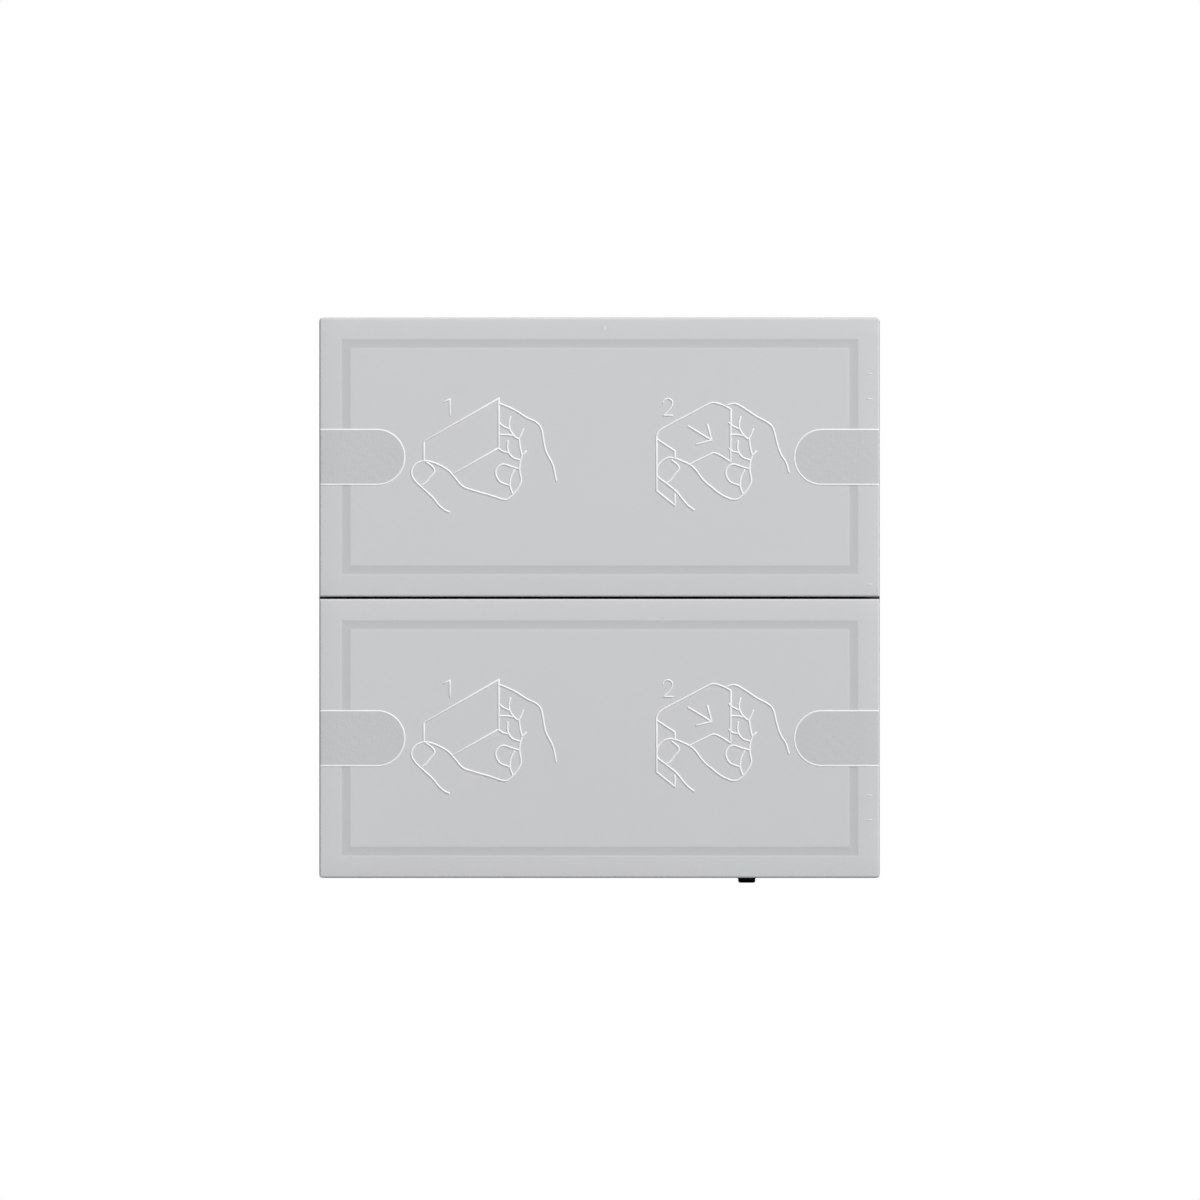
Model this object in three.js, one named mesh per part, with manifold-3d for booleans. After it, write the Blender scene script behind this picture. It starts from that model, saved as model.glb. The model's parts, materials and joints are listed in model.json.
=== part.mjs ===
// A two-gang rocker wall switch: a 55 mm square push-button insert with two wide rockers, one
// above the other. Each rocker is a clip-on cover over a carrier that tilts left and right on a
// steel pin and pushes spring-loaded plungers onto a circuit board.
//
// Millimetres. +X is right, +Z is up, and the room is towards -Y. Sizes are given from the centre of
// the insert, on the plane where its flange seats on the support ring. The last step moves the whole
// assembly, so that the frame's origin is the middle of its bounding box.
import * as THREE from "three";
import { mergeVertices } from "three/addons/utils/BufferGeometryUtils.js";
import Module from "manifold-3d";

// ---------------------------------------------------------------- driving dimensions

const SIDE = 55; // the square that both rockers fill
const ROCKER_GAP = 0.25;
const ROCKER_HALF_W = SIDE / 2;
const ROCKER_HALF_H = (SIDE - ROCKER_GAP) / 4;
const ROCKER_Z = ROCKER_HALF_H + ROCKER_GAP / 2; // height of a rocker's centre above the origin

// Depths, front to back.
const FACE_Y = -9.6; // front of the covers
const COVER_INSIDE_Y = -8.3;
const CARRIER_FRONT_Y = -8;
const COVER_RIM_BACK_Y = -7.4;
const CARRIER_PLATE_BACK_Y = -6.4;
const PIVOT_Y = -4.8;
const COVER_END_BACK_Y = -3; // the end walls of a cover reach further back than its rim
const TRAY_FRONT_Y = -2.8;
const FLANGE_FRONT_Y = -2;
const FLOOR_BACK_Y = -1.2;
const SEAT_Y = 0; // back of the flange
const BOARD_FRONT_Y = 0.9;
const BOARD_BACK_Y = 2.5;
const HOUSING_BACK_Y = 12;

// Places that several pieces share.
const PLUNGER_X = 15.5;
const PEG_X = 9;
const FIXING_SCREW = 22.4; // both X and Z of a fixing screw
const BOARD_SCREW = 18.5; // distance of a board screw from the centre
const SNAP = {
  x: 22.8,
  z: 13.6,
  halfLength: 1.8,
  inward: 0.55, // how far the tongue reaches either way of x, and its barb outward
  outward: 0.5,
  barb: 1.1,
  tipY: -3.7,
  barbBackY: -2.95,
};
const TERMINAL = { z: -9, halfW: 5.8, halfH: 5.1, frontY: 7.4, backY: 17.6, pinX: 2.9 };

const FINE = 20; // facets round a turned piece or its bore
const COARSE = 14; // facets round a screw or a plain hole

const GANGS = { upper: ROCKER_Z, lower: -ROCKER_Z };
const SIDES = { left: -1, right: 1 };

// ---------------------------------------------------------------- solids

const wasm = await Module();
wasm.setup();

/** A closed three.js geometry as a solid that can be joined and cut. */
function solidOf(geometry) {
  const bare = geometry.index ? geometry.toNonIndexed() : geometry.clone();
  bare.deleteAttribute("normal");
  bare.deleteAttribute("uv");
  const merged = mergeVertices(bare, 1e-4);
  const vertProperties = merged.attributes.position.array;
  const triVerts = new Uint32Array(merged.index.array);
  return new wasm.Manifold(new wasm.Mesh({ numProp: 3, vertProperties, triVerts }));
}

/** A solid as a three.js geometry. */
function geometryOf(solid) {
  const mesh = solid.getMesh();
  const geometry = new THREE.BufferGeometry();
  geometry.setAttribute("position", new THREE.BufferAttribute(mesh.vertProperties, mesh.numProp));
  geometry.setIndex(new THREE.BufferAttribute(mesh.triVerts, 1));
  geometry.computeVertexNormals();
  return geometry;
}

const join = (...solids) => solids.reduce((whole, piece) => whole.add(piece));
const cut = (solid, ...tools) => tools.reduce((left, tool) => left.subtract(tool), solid);

// ---------------------------------------------------------------- outlines, in X and Z

function rectangle(halfW, halfH, x = 0, z = 0) {
  return new THREE.Shape([
    new THREE.Vector2(x - halfW, z - halfH),
    new THREE.Vector2(x + halfW, z - halfH),
    new THREE.Vector2(x + halfW, z + halfH),
    new THREE.Vector2(x - halfW, z + halfH),
  ]);
}

function roundedRectangle(halfW, halfH, radius, x = 0, z = 0) {
  const shape = new THREE.Shape();
  const inW = halfW - radius;
  const inH = halfH - radius;
  shape.absarc(x + inW, z + inH, radius, 0, Math.PI / 2);
  shape.absarc(x - inW, z + inH, radius, Math.PI / 2, Math.PI);
  shape.absarc(x - inW, z - inH, radius, Math.PI, 1.5 * Math.PI);
  shape.absarc(x + inW, z - inH, radius, 1.5 * Math.PI, 2 * Math.PI);
  shape.closePath();
  return shape;
}

/** A square with its corners cut off: each side is straight for `straight` either way of its middle. */
function cutSquare(half, straight) {
  return new THREE.Shape([
    new THREE.Vector2(half, -straight),
    new THREE.Vector2(half, straight),
    new THREE.Vector2(straight, half),
    new THREE.Vector2(-straight, half),
    new THREE.Vector2(-half, straight),
    new THREE.Vector2(-half, -straight),
    new THREE.Vector2(-straight, -half),
    new THREE.Vector2(straight, -half),
  ]);
}

// ---------------------------------------------------------------- simple shapes, placed in the frame

/** An outline in X and Z, as a slab from yFront to yBack. Its edges can be broken by a bevel. */
function slab(outline, yFront, yBack, { bevel = 0, arcSegments = 4 } = {}) {
  const geometry = new THREE.ExtrudeGeometry(outline, {
    depth: yBack - yFront - 2 * bevel,
    curveSegments: arcSegments,
    bevelEnabled: bevel > 0,
    bevelThickness: bevel,
    bevelSize: bevel,
    bevelOffset: -bevel,
    bevelSegments: 1,
  });
  return solidOf(geometry.rotateX(Math.PI / 2).translate(0, yBack - bevel, 0));
}

/** An upright or lying box, from its lowest to its highest corner. */
function box([x0, y0, z0], [x1, y1, z1]) {
  const geometry = new THREE.BoxGeometry(x1 - x0, y1 - y0, z1 - z0);
  return solidOf(geometry.translate((x0 + x1) / 2, (y0 + y1) / 2, (z0 + z1) / 2));
}

/** A rod along Y, at x and z. */
function rodY(radius, yFront, yBack, x = 0, z = 0, segments = COARSE) {
  const geometry = new THREE.CylinderGeometry(radius, radius, yBack - yFront, segments);
  return solidOf(geometry.translate(x, (yFront + yBack) / 2, z));
}

/** A rod along Z on the pivot line. */
function pivotRod(radius, zLow, zHigh) {
  const geometry = new THREE.CylinderGeometry(radius, radius, zHigh - zLow, FINE);
  return solidOf(geometry.rotateX(Math.PI / 2).translate(0, PIVOT_Y, (zLow + zHigh) / 2));
}

/**
 * A turned piece round an axis along Y. The profile is [radius, y] pairs from front to back. It starts
 * and ends on the axis, or closes on itself.
 */
function turned(profile, x, z, segments = COARSE) {
  const points = profile.map(([radius, y]) => new THREE.Vector2(radius, y));
  return solidOf(new THREE.LatheGeometry(points, segments).translate(x, 0, z));
}

// ---------------------------------------------------------------- the rocker covers

const COVER = {
  wall: 1.2,
  rim: 0.8,
  cornerR: 0.25,
  edgeBreak: 0.15,
  pegR: 1.4,
  pegBackY: -6.6,
  lipReach: 0.25,
  lipHalfLength: 8,
  lipPeakY: -3.8,
  lipLeadIn: 0.3,
  lipLeadOut: 0.7,
};
const GROOVE = { inset: 2.1, width: 0.8, depth: 0.05 };
const GRIP = { radius: 2.69, arcX: ROCKER_HALF_W - 5.66, beadHalfW: 0.11, beadHeight: 0.1 };

/** The outline of a finger grip: open at the end of the cover, and round at its inner end. */
function gripOutline(side, grow) {
  const radius = GRIP.radius + grow;
  const past = ROCKER_HALF_W + 1;
  const shape = new THREE.Shape();
  shape.moveTo(side * past, -side * radius);
  shape.lineTo(side * past, side * radius);
  shape.lineTo(side * GRIP.arcX, side * radius);
  const start = (side * Math.PI) / 2;
  shape.absarc(side * GRIP.arcX, 0, radius, start, start + Math.PI);
  shape.closePath();
  return shape;
}

/** A cover: a thin face with a low rim and deep end walls. It can bow until its catch lips let go. */
function rockerCover() {
  const outline = roundedRectangle(ROCKER_HALF_W, ROCKER_HALF_H, COVER.cornerR);
  const insideW = ROCKER_HALF_W - COVER.wall;
  const insideH = ROCKER_HALF_H - COVER.rim;

  const face = slab(outline, FACE_Y, COVER_INSIDE_Y, { bevel: COVER.edgeBreak });
  const shell = slab(outline, FACE_Y + COVER.edgeBreak, COVER_END_BACK_Y);
  const hollow = slab(rectangle(insideW, insideH), COVER_INSIDE_Y, 0);
  const betweenEnds = slab(rectangle(insideW, ROCKER_HALF_H + 1), COVER_RIM_BACK_Y, 0);
  let cover = cut(join(face, shell), hollow, betweenEnds);

  for (const side of Object.values(SIDES)) {
    cover = join(cover, snapLip(side * insideW, -side * COVER.lipReach));
    cover = join(cover, rodY(COVER.pegR, COVER_INSIDE_Y - 0.1, COVER.pegBackY, side * PEG_X));
  }
  return markFace(cover, outline);
}

/** A sloped lip inside an end wall at x, reaching by `reach` towards the middle. */
function snapLip(x, reach) {
  const { lipHalfLength, lipPeakY, lipLeadIn, lipLeadOut } = COVER;
  const root = x - Math.sign(reach) * 0.2;
  const profile = new THREE.Shape([
    new THREE.Vector2(root, lipPeakY - lipLeadIn),
    new THREE.Vector2(x, lipPeakY - lipLeadIn),
    new THREE.Vector2(x + reach, lipPeakY),
    new THREE.Vector2(x, lipPeakY + lipLeadOut),
    new THREE.Vector2(root, lipPeakY + lipLeadOut),
  ]);
  const geometry = new THREE.ExtrudeGeometry(profile, {
    depth: 2 * lipHalfLength,
    bevelEnabled: false,
  });
  return solidOf(geometry.translate(0, 0, -lipHalfLength));
}

/** Adds the shallow groove and the raised edges of the two finger grips to the front face. */
function markFace(cover, outline) {
  const grooveW = ROCKER_HALF_W - GROOVE.inset;
  const grooveH = ROCKER_HALF_H - GROOVE.inset;
  const ring = rectangle(grooveW, grooveH);
  ring.holes.push(rectangle(grooveW - GROOVE.width, grooveH - GROOVE.width));
  let groove = slab(ring, FACE_Y - 1, FACE_Y + GROOVE.depth);
  let marked = cover;
  const faceArea = slab(outline, FACE_Y - GRIP.beadHeight, FACE_Y + GROOVE.depth, { bevel: 0.05 });
  for (const side of Object.values(SIDES)) {
    const pad = slab(gripOutline(side, GRIP.beadHalfW), FACE_Y - 2, FACE_Y + 2, { arcSegments: 6 });
    const inner = slab(gripOutline(side, -GRIP.beadHalfW), FACE_Y - 3, FACE_Y + 3, { arcSegments: 6 });
    groove = cut(groove, pad);
    marked = join(marked, cut(pad, inner).intersect(faceArea));
  }
  return cut(marked, groove);
}

// ---------------------------------------------------------------- the rocker carriers

const CARRIER = {
  halfW: 26,
  stepHalfH: 12.7, // the part that sits inside the cover's rim
  skirtHalfH: 13.3,
  shoulderY: -7.2,
  skirt: 0.9,
  endBackY: -4.2,
  skirtBackY: -3,
  lugZ: 3.2,
  lugHalfT: 0.7,
  lugR: 1.4,
  lugHoleR: 0.86,
  socketR: 1.6,
  accessR: 2.6,
  rib: { halfLength: 18.5, halfT: 0.4, backY: -5.4 },
  pocket: { halfW: 4, halfH: 3.2, depth: 0.8, x: [-15, -5, 5, 15], z: [-7.5, 7.5] },
};

/** A carrier: the tilting frame that a cover clips onto. accessX and accessZ place its screwdriver hole. */
function rockerCarrier(accessX, accessZ) {
  const { halfW, stepHalfH, skirtHalfH, skirt } = CARRIER;
  const step = slab(rectangle(halfW, stepHalfH), CARRIER_FRONT_Y, CARRIER.shoulderY + 0.2);
  const skirts = slab(rectangle(halfW, skirtHalfH), CARRIER.shoulderY, CARRIER.skirtBackY);
  const hollow = slab(rectangle(halfW - skirt, skirtHalfH - skirt), CARRIER_PLATE_BACK_Y, 0);
  let carrier = cut(join(step, skirts), hollow);
  for (const side of Object.values(SIDES)) {
    const endX = side * halfW;
    const past = [endX - 1, CARRIER.endBackY, -skirtHalfH - 1];
    carrier = cut(carrier, box(past, [endX + 1, 0, skirtHalfH + 1]));
    const socketBackY = CARRIER_PLATE_BACK_Y + 0.4;
    carrier = cut(carrier, rodY(CARRIER.socketR, CARRIER_FRONT_Y - 1, socketBackY, side * PEG_X));
    carrier = join(carrier, pivotLug(side * CARRIER.lugZ));
  }
  for (const z of CARRIER.pocket.z) {
    carrier = join(carrier, stiffeningRib(z));
    carrier = cut(carrier, ...pocketRow(z));
  }
  const access = rodY(CARRIER.accessR, CARRIER_FRONT_Y - 1, CARRIER.skirtBackY, accessX, accessZ);
  return cut(carrier, access);
}

/** The shallow pockets that keep the carrier's plate of even thickness, in one row. */
function pocketRow(z) {
  const { halfW, halfH, depth, x } = CARRIER.pocket;
  const back = CARRIER_FRONT_Y + depth;
  return x.map((middle) => slab(rectangle(halfW, halfH, middle, z), CARRIER_FRONT_Y - 1, back));
}

/** An ear under a carrier that turns on the pivot pin. */
function pivotLug(z) {
  const low = z - CARRIER.lugHalfT;
  const high = z + CARRIER.lugHalfT;
  const ear = join(
    pivotRod(CARRIER.lugR, low, high),
    box([-CARRIER.lugR, CARRIER_PLATE_BACK_Y - 0.3, low], [CARRIER.lugR, PIVOT_Y, high]),
  );
  return cut(ear, pivotRod(CARRIER.lugHoleR, low - 1, high + 1));
}

function stiffeningRib(z) {
  const { halfLength, halfT, backY } = CARRIER.rib;
  return box([-halfLength, CARRIER_PLATE_BACK_Y - 0.3, z - halfT], [halfLength, backY, z + halfT]);
}

// ---------------------------------------------------------------- the base frame

const BASE = {
  flangeHalf: 27.52, // shows as a hairline round the covers
  cornerR: 0.4,
  trayHalfW: 24.6,
  trayHalfH: 11.8,
  pocketHalf: 23.7,
  pocketStraight: 15.7,
  earZ: 5,
  earHalfT: 0.7,
  earR: 1.4,
  earHoleR: 0.82,
  plungerHoleR: 1.3,
  bossR: 2.2,
  bossHoleR: 0.8,
  screwHoleR: 1.5,
  slotHalfW: 0.8,
  slotPlay: 0.2,
  lug: {
    x: 14.46,
    halfW: 0.84,
    tipZ: -27.99,
    overlap: 0.6,
    frontY: -1.8,
    backY: -0.3,
    cornerR: 0.2,
    edgeBreak: 0.15,
  },
};

/** The base frame: the seating flange, two raised trays with the pivot ears, and the board bosses. */
function baseFrame() {
  const flange = roundedRectangle(BASE.flangeHalf, BASE.flangeHalf, BASE.cornerR);
  let base = slab(flange, FLANGE_FRONT_Y, SEAT_Y, { arcSegments: 6 });
  for (const z of Object.values(GANGS)) {
    const tray = rectangle(BASE.trayHalfW, BASE.trayHalfH, 0, z);
    base = join(base, slab(tray, TRAY_FRONT_Y, FLANGE_FRONT_Y + 0.2));
  }
  const pocket = slab(cutSquare(BASE.pocketHalf, BASE.pocketStraight), FLOOR_BACK_Y, 1);
  base = cut(base, pocket);
  for (const [x, z] of boardScrewPlaces()) {
    base = join(base, rodY(BASE.bossR, FLOOR_BACK_Y - 0.2, BOARD_FRONT_Y, x, z));
    base = cut(base, rodY(BASE.bossHoleR, FLOOR_BACK_Y + 0.2, BOARD_FRONT_Y + 1, x, z));
  }
  for (const z of Object.values(GANGS)) {
    base = gangFeatures(base, z);
  }
  for (const side of Object.values(SIDES)) {
    const at = side * FIXING_SCREW;
    base = cut(base, rodY(BASE.screwHoleR, TRAY_FRONT_Y - 1, SEAT_Y + 1, at, at));
  }
  return join(base, keyingLug());
}

/** The pivot ears, plunger guides and snap slots that serve one rocker. */
function gangFeatures(base, z) {
  let made = base;
  for (const side of Object.values(SIDES)) {
    made = join(made, pivotEar(z + side * BASE.earZ));
  }
  for (const side of Object.values(SIDES)) {
    const snapX = side * SNAP.x;
    const snapZ = Math.sign(z) * SNAP.z;
    made = cut(
      made,
      rodY(BASE.plungerHoleR, TRAY_FRONT_Y - 1, 0, side * PLUNGER_X, z, FINE),
      slab(rectangle(BASE.slotHalfW, SNAP.halfLength + BASE.slotPlay, snapX, snapZ), TRAY_FRONT_Y - 1, 0),
    );
  }
  return made;
}

function pivotEar(z) {
  const low = z - BASE.earHalfT;
  const high = z + BASE.earHalfT;
  const ear = join(
    pivotRod(BASE.earR, low, high),
    box([-BASE.earR, PIVOT_Y, low], [BASE.earR, TRAY_FRONT_Y + 0.2, high]),
  );
  return cut(ear, pivotRod(BASE.earHoleR, low - 1, high + 1));
}

/** The small lug under the bottom edge that keys the insert to its frame. */
function keyingLug() {
  const { x, halfW, tipZ, overlap, frontY, backY, cornerR, edgeBreak } = BASE.lug;
  const halfH = (-BASE.flangeHalf + overlap - tipZ) / 2;
  const outline = roundedRectangle(halfW, halfH, cornerR, x, tipZ + halfH);
  return slab(outline, frontY, backY, { bevel: edgeBreak });
}

function boardScrewPlaces() {
  return [0, 1, 2, 3].map((quarter) => {
    const angle = (quarter * Math.PI) / 2;
    return [BOARD_SCREW * Math.cos(angle), BOARD_SCREW * Math.sin(angle)];
  });
}

// ---------------------------------------------------------------- the rear housing

const HOUSING = {
  half: 23.5,
  straight: 15.5,
  wall: 1.4,
  frontY: -1.1,
  floorY: 10.5,
  edgeBreak: 0.4,
  pinHoleR: 0.8,
  pocket: { halfW: 6.1, halfH: 5.4, floorY: 7.2, wall: 1.2 },
  label: { halfW: 14, halfH: 5.5, z: 9, depth: 0.2 },
};

/** The rear housing: a cup that snaps into the base frame and holds the terminal's pocket. */
function rearHousing() {
  const { half, straight, wall, pocket, label } = HOUSING;
  const insideStraight = straight - wall * (Math.SQRT2 - 1);
  let housing = slab(cutSquare(half, straight), HOUSING.frontY, HOUSING_BACK_Y, {
    bevel: HOUSING.edgeBreak,
  });
  const inside = slab(cutSquare(half - wall, insideStraight), HOUSING.frontY - 1, HOUSING.floorY);
  const well = slab(
    rectangle(pocket.halfW + pocket.wall, pocket.halfH + pocket.wall, 0, TERMINAL.z),
    pocket.floorY - pocket.wall,
    HOUSING_BACK_Y - 0.6,
  );
  const opening = rectangle(pocket.halfW, pocket.halfH, 0, TERMINAL.z);
  housing = cut(
    join(cut(housing, inside), well),
    slab(opening, pocket.floorY, HOUSING_BACK_Y + 1),
    slab(rectangle(label.halfW, label.halfH, 0, label.z), HOUSING_BACK_Y - label.depth, HOUSING_BACK_Y + 1),
  );
  for (const side of Object.values(SIDES)) {
    const pinX = side * TERMINAL.pinX;
    const pastFloor = pocket.floorY - pocket.wall - 1;
    housing = cut(housing, rodY(HOUSING.pinHoleR, pastFloor, pocket.floorY + 1, pinX, TERMINAL.z));
    for (const z of [-SNAP.z, SNAP.z]) {
      housing = join(housing, snapTongue(side, z));
    }
  }
  return housing;
}

/** A tongue through a slot of the base frame, with a barb that sits in front of the tray. */
function snapTongue(side, z) {
  const low = z - SNAP.halfLength;
  const high = z + SNAP.halfLength;
  const inner = side * (SNAP.x - SNAP.inward);
  const outer = side * (SNAP.x + SNAP.outward);
  const barb = side * (SNAP.x + SNAP.barb);
  const span = (a, b, y0, y1) => box([Math.min(a, b), y0, low], [Math.max(a, b), y1, high]);
  return join(
    span(inner, outer, SNAP.tipY, HOUSING.frontY + 1),
    span(inner, barb, SNAP.tipY, SNAP.barbBackY),
  );
}

// ---------------------------------------------------------------- the small moving pieces

const PLUNGER = { headR: 2.4, domeR: 12, topY: -6.35, headBackY: -5.6, stemR: 1.15, tipR: 0.95, tipY: -0.2 };

/** A plunger: its domed head follows the carrier, and its stem slides in the base frame. */
function plunger(x, z) {
  const { headR, domeR, topY, headBackY, stemR, tipR, tipY } = PLUNGER;
  const dome = [0, 0.8, 1.6, headR].map((r) => [r, topY + domeR - Math.sqrt(domeR ** 2 - r ** 2)]);
  const stem = [
    [headR, headBackY],
    [stemR, headBackY],
    [stemR, tipY - 0.15],
    [tipR, tipY],
    [0, tipY],
  ];
  return turned([...dome, ...stem], x, z, FINE);
}

const PILL = { innerR: 1.2, outerR: 1.9, frontY: -0.65, floorY: -0.15, backY: 0.35, edgeBreak: 0.1 };

/** A conductive rubber cap on the end of a plunger, which bridges the contacts on the board. */
function contactPill(x, z) {
  const { innerR, outerR, frontY, floorY, backY, edgeBreak } = PILL;
  const profile = [
    [innerR, frontY],
    [outerR, frontY],
    [outerR, backY - edgeBreak],
    [outerR - edgeBreak, backY],
    [0, backY],
    [0, floorY],
    [innerR, floorY],
    [innerR, frontY],
  ];
  return turned(profile, x, z, FINE);
}

const SPRING = { coilR: 1.75, wireR: 0.2, turns: 3.5, frontY: -5.35, backY: -3.05 };

class Helix extends THREE.Curve {
  getPoint(t, target = new THREE.Vector3()) {
    const angle = 2 * Math.PI * SPRING.turns * t;
    const y = THREE.MathUtils.lerp(SPRING.backY, SPRING.frontY, t);
    return target.set(SPRING.coilR * Math.cos(angle), y, SPRING.coilR * Math.sin(angle));
  }
}

/** The coil spring round a plunger's stem, between the tray and the plunger's head. */
function returnSpring(x, z) {
  const wire = new THREE.Shape().absarc(0, 0, SPRING.wireR, 0, 2 * Math.PI);
  const geometry = new THREE.ExtrudeGeometry(wire, {
    steps: Math.round(10 * SPRING.turns),
    curveSegments: 3,
    bevelEnabled: false,
    extrudePath: new Helix(),
  });
  return solidOf(geometry.translate(x, 0, z));
}

function pivotPin(z) {
  const past = BASE.earZ + BASE.earHalfT + 0.2;
  return pivotRod(0.75, z - past, z + past);
}

// ---------------------------------------------------------------- the electronics

const BOARD = { half: 21.8, straight: 14.6, screwHoleR: 1.1, pinHoleR: 0.6 };
const COMPONENT_Y = BOARD_BACK_Y + 0.05; // where the components start, just clear of the board

function circuitBoard() {
  let board = slab(cutSquare(BOARD.half, BOARD.straight), BOARD_FRONT_Y + 0.02, BOARD_BACK_Y);
  for (const [x, z] of boardScrewPlaces()) {
    board = cut(board, rodY(BOARD.screwHoleR, 0, 4, x, z));
  }
  for (const side of Object.values(SIDES)) {
    board = cut(board, rodY(BOARD.pinHoleR, 0, 4, side * TERMINAL.pinX, TERMINAL.z));
  }
  return board;
}

const CHIPS = {
  microcontroller: { halfW: 3.5, halfH: 3.5, height: 1.2, x: -9, z: 8.5, material: "chip" },
  bus_transceiver: { halfW: 5.2, halfH: 3.2, height: 1.8, x: 9, z: 9.5, material: "chip" },
  inductor: { halfW: 3.2, halfH: 3.2, height: 3, x: -13.5, z: -7.5, material: "coil" },
};

/** A packaged component on the back of the board. */
function packaged({ halfW, halfH, height, x, z }) {
  return slab(rectangle(halfW, halfH, x, z), COMPONENT_Y, COMPONENT_Y + height, { bevel: 0.12 });
}

/** A standing capacitor can, with a crimped waist near its foot. */
function storageCapacitor(x, z) {
  const canR = 3.1;
  const waistR = 2.9;
  const rimR = 2.8;
  const height = 6.2;
  const profile = [
    [0, 0],
    [canR, 0],
    [canR, 0.9],
    [waistR, 1.2],
    [canR, 1.5],
    [canR, height - 0.3],
    [rimR, height],
    [0, height],
  ].map(([radius, above]) => [radius, COMPONENT_Y + above]);
  return turned(profile, x, z, FINE);
}

const HEADER = { halfW: 4.8, halfH: 1.7, height: 2.6, edgeBreak: 0.2, holeR: 0.55 };
const BUS_PIN = { radius: 0.5, tipR: 0.2, frontY: 0.75, backY: 11.5, taper: 0.4, segments: 12 };

/** The block that holds the two bus pins on the board. */
function pinHeader() {
  const outline = rectangle(HEADER.halfW, HEADER.halfH, 0, TERMINAL.z);
  let header = slab(outline, COMPONENT_Y, COMPONENT_Y + HEADER.height, { bevel: HEADER.edgeBreak });
  for (const side of Object.values(SIDES)) {
    header = cut(header, rodY(HEADER.holeR, 0, 8, side * TERMINAL.pinX, TERMINAL.z));
  }
  return header;
}

function busPin(side) {
  const { radius, tipR, frontY, backY, taper, segments } = BUS_PIN;
  const profile = [
    [0, frontY],
    [radius, frontY],
    [radius, backY - taper],
    [tipR, backY],
    [0, backY],
  ];
  return turned(profile, side * TERMINAL.pinX, TERMINAL.z, segments);
}

// ---------------------------------------------------------------- fasteners and the bus terminal

const RECESS = { depth: 0.7, halfW: 0.2, reach: 0.62 }; // reach is a share of the head's radius

/** A pan-head screw with a cross recess. It points from its seat to its tip, along Y. */
function screw({ headR, headH, shankR, seatY, tipY, x, z }) {
  const flip = Math.sign(tipY - seatY);
  const headY = seatY - flip * headH;
  const profile = [
    [0, headY],
    [headR - 0.35, headY],
    [headR, headY + flip * 0.4],
    [headR, seatY],
    [shankR, seatY],
    [shankR, tipY - flip * 0.8],
    [0.2, tipY],
    [0, tipY],
  ];
  const body = turned(flip > 0 ? profile : profile.reverse(), x, z);
  const low = Math.min(headY - flip, headY + flip * RECESS.depth);
  const high = Math.max(headY - flip, headY + flip * RECESS.depth);
  const arm = RECESS.reach * headR;
  const half = RECESS.halfW;
  return cut(
    body,
    box([x - arm, low, z - half], [x + arm, high, z + half]),
    box([x - half, low, z - arm], [x + half, high, z + arm]),
  );
}

function fixingScrew(side) {
  const at = side * FIXING_SCREW;
  const sizes = { headR: 2.2, headH: 1.4, shankR: 1.3 };
  return screw({ ...sizes, seatY: TRAY_FRONT_Y - 0.02, tipY: 6, x: at, z: at });
}

function boardScrew(x, z) {
  const sizes = { headR: 1.7, headH: 1.1, shankR: 0.7 };
  return screw({ ...sizes, seatY: BOARD_BACK_Y + 0.02, tipY: -0.7, x, z });
}

const SOCKET = { radius: 0.75, depth: 5.5 };
const WIRE_HOLE = { radius: 0.8, depth: 5, offX: 1.35, offZ: 3, segments: 12 };
const TEST_SLOT = { halfW: 0.9, halfH: 0.45, depth: 2.5 };

/** One half of the plug-in bus terminal, with its pin socket, four wire holes and test slot. */
function terminalHalf(side) {
  const { halfW, halfH, frontY, backY, pinX, z } = TERMINAL;
  const halfBody = (halfW - 0.05) / 2;
  const x = side * (halfW - halfBody);
  const past = backY + 1;
  let half = slab(rectangle(halfBody, halfH, x, z), frontY, backY, { bevel: 0.3 });
  half = cut(half, rodY(SOCKET.radius, frontY - 1, frontY + SOCKET.depth, side * pinX, z));
  for (const dx of [-WIRE_HOLE.offX, WIRE_HOLE.offX]) {
    for (const dz of [-WIRE_HOLE.offZ, WIRE_HOLE.offZ]) {
      const front = backY - WIRE_HOLE.depth;
      half = cut(half, rodY(WIRE_HOLE.radius, front, past, x + dx, z + dz, WIRE_HOLE.segments));
    }
  }
  return cut(half, slab(rectangle(TEST_SLOT.halfW, TEST_SLOT.halfH, x, z), backY - TEST_SLOT.depth, past));
}

// ---------------------------------------------------------------- materials

const finish = (color, roughness, metalness = 0) =>
  new THREE.MeshStandardMaterial({ color, roughness, metalness });

const MATERIALS = {
  cover: finish("#c9cacc", 0.5),
  black: finish("#1b1b1d", 0.55),
  housing: finish("#202124", 0.6),
  plunger: finish("#e6e4dc", 0.4),
  rubber: finish("#2a2a2c", 0.85),
  steel: finish("#b9bcc0", 0.3, 1),
  board: finish("#1d6a3c", 0.45),
  chip: finish("#26272a", 0.5),
  aluminium: finish("#c8cacc", 0.35, 1),
  coil: finish("#4a4a4c", 0.6),
  screw: finish("#d8d6cf", 0.45),
  red: finish("#b3201c", 0.45),
  grey: finish("#3a3c40", 0.45),
};

// ---------------------------------------------------------------- the assembly

const insert = new THREE.Group();

function add(name, solid, material, z = 0) {
  const mesh = new THREE.Mesh(geometryOf(solid), MATERIALS[material]);
  mesh.name = name;
  mesh.position.z = z;
  insert.add(mesh);
}

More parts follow.
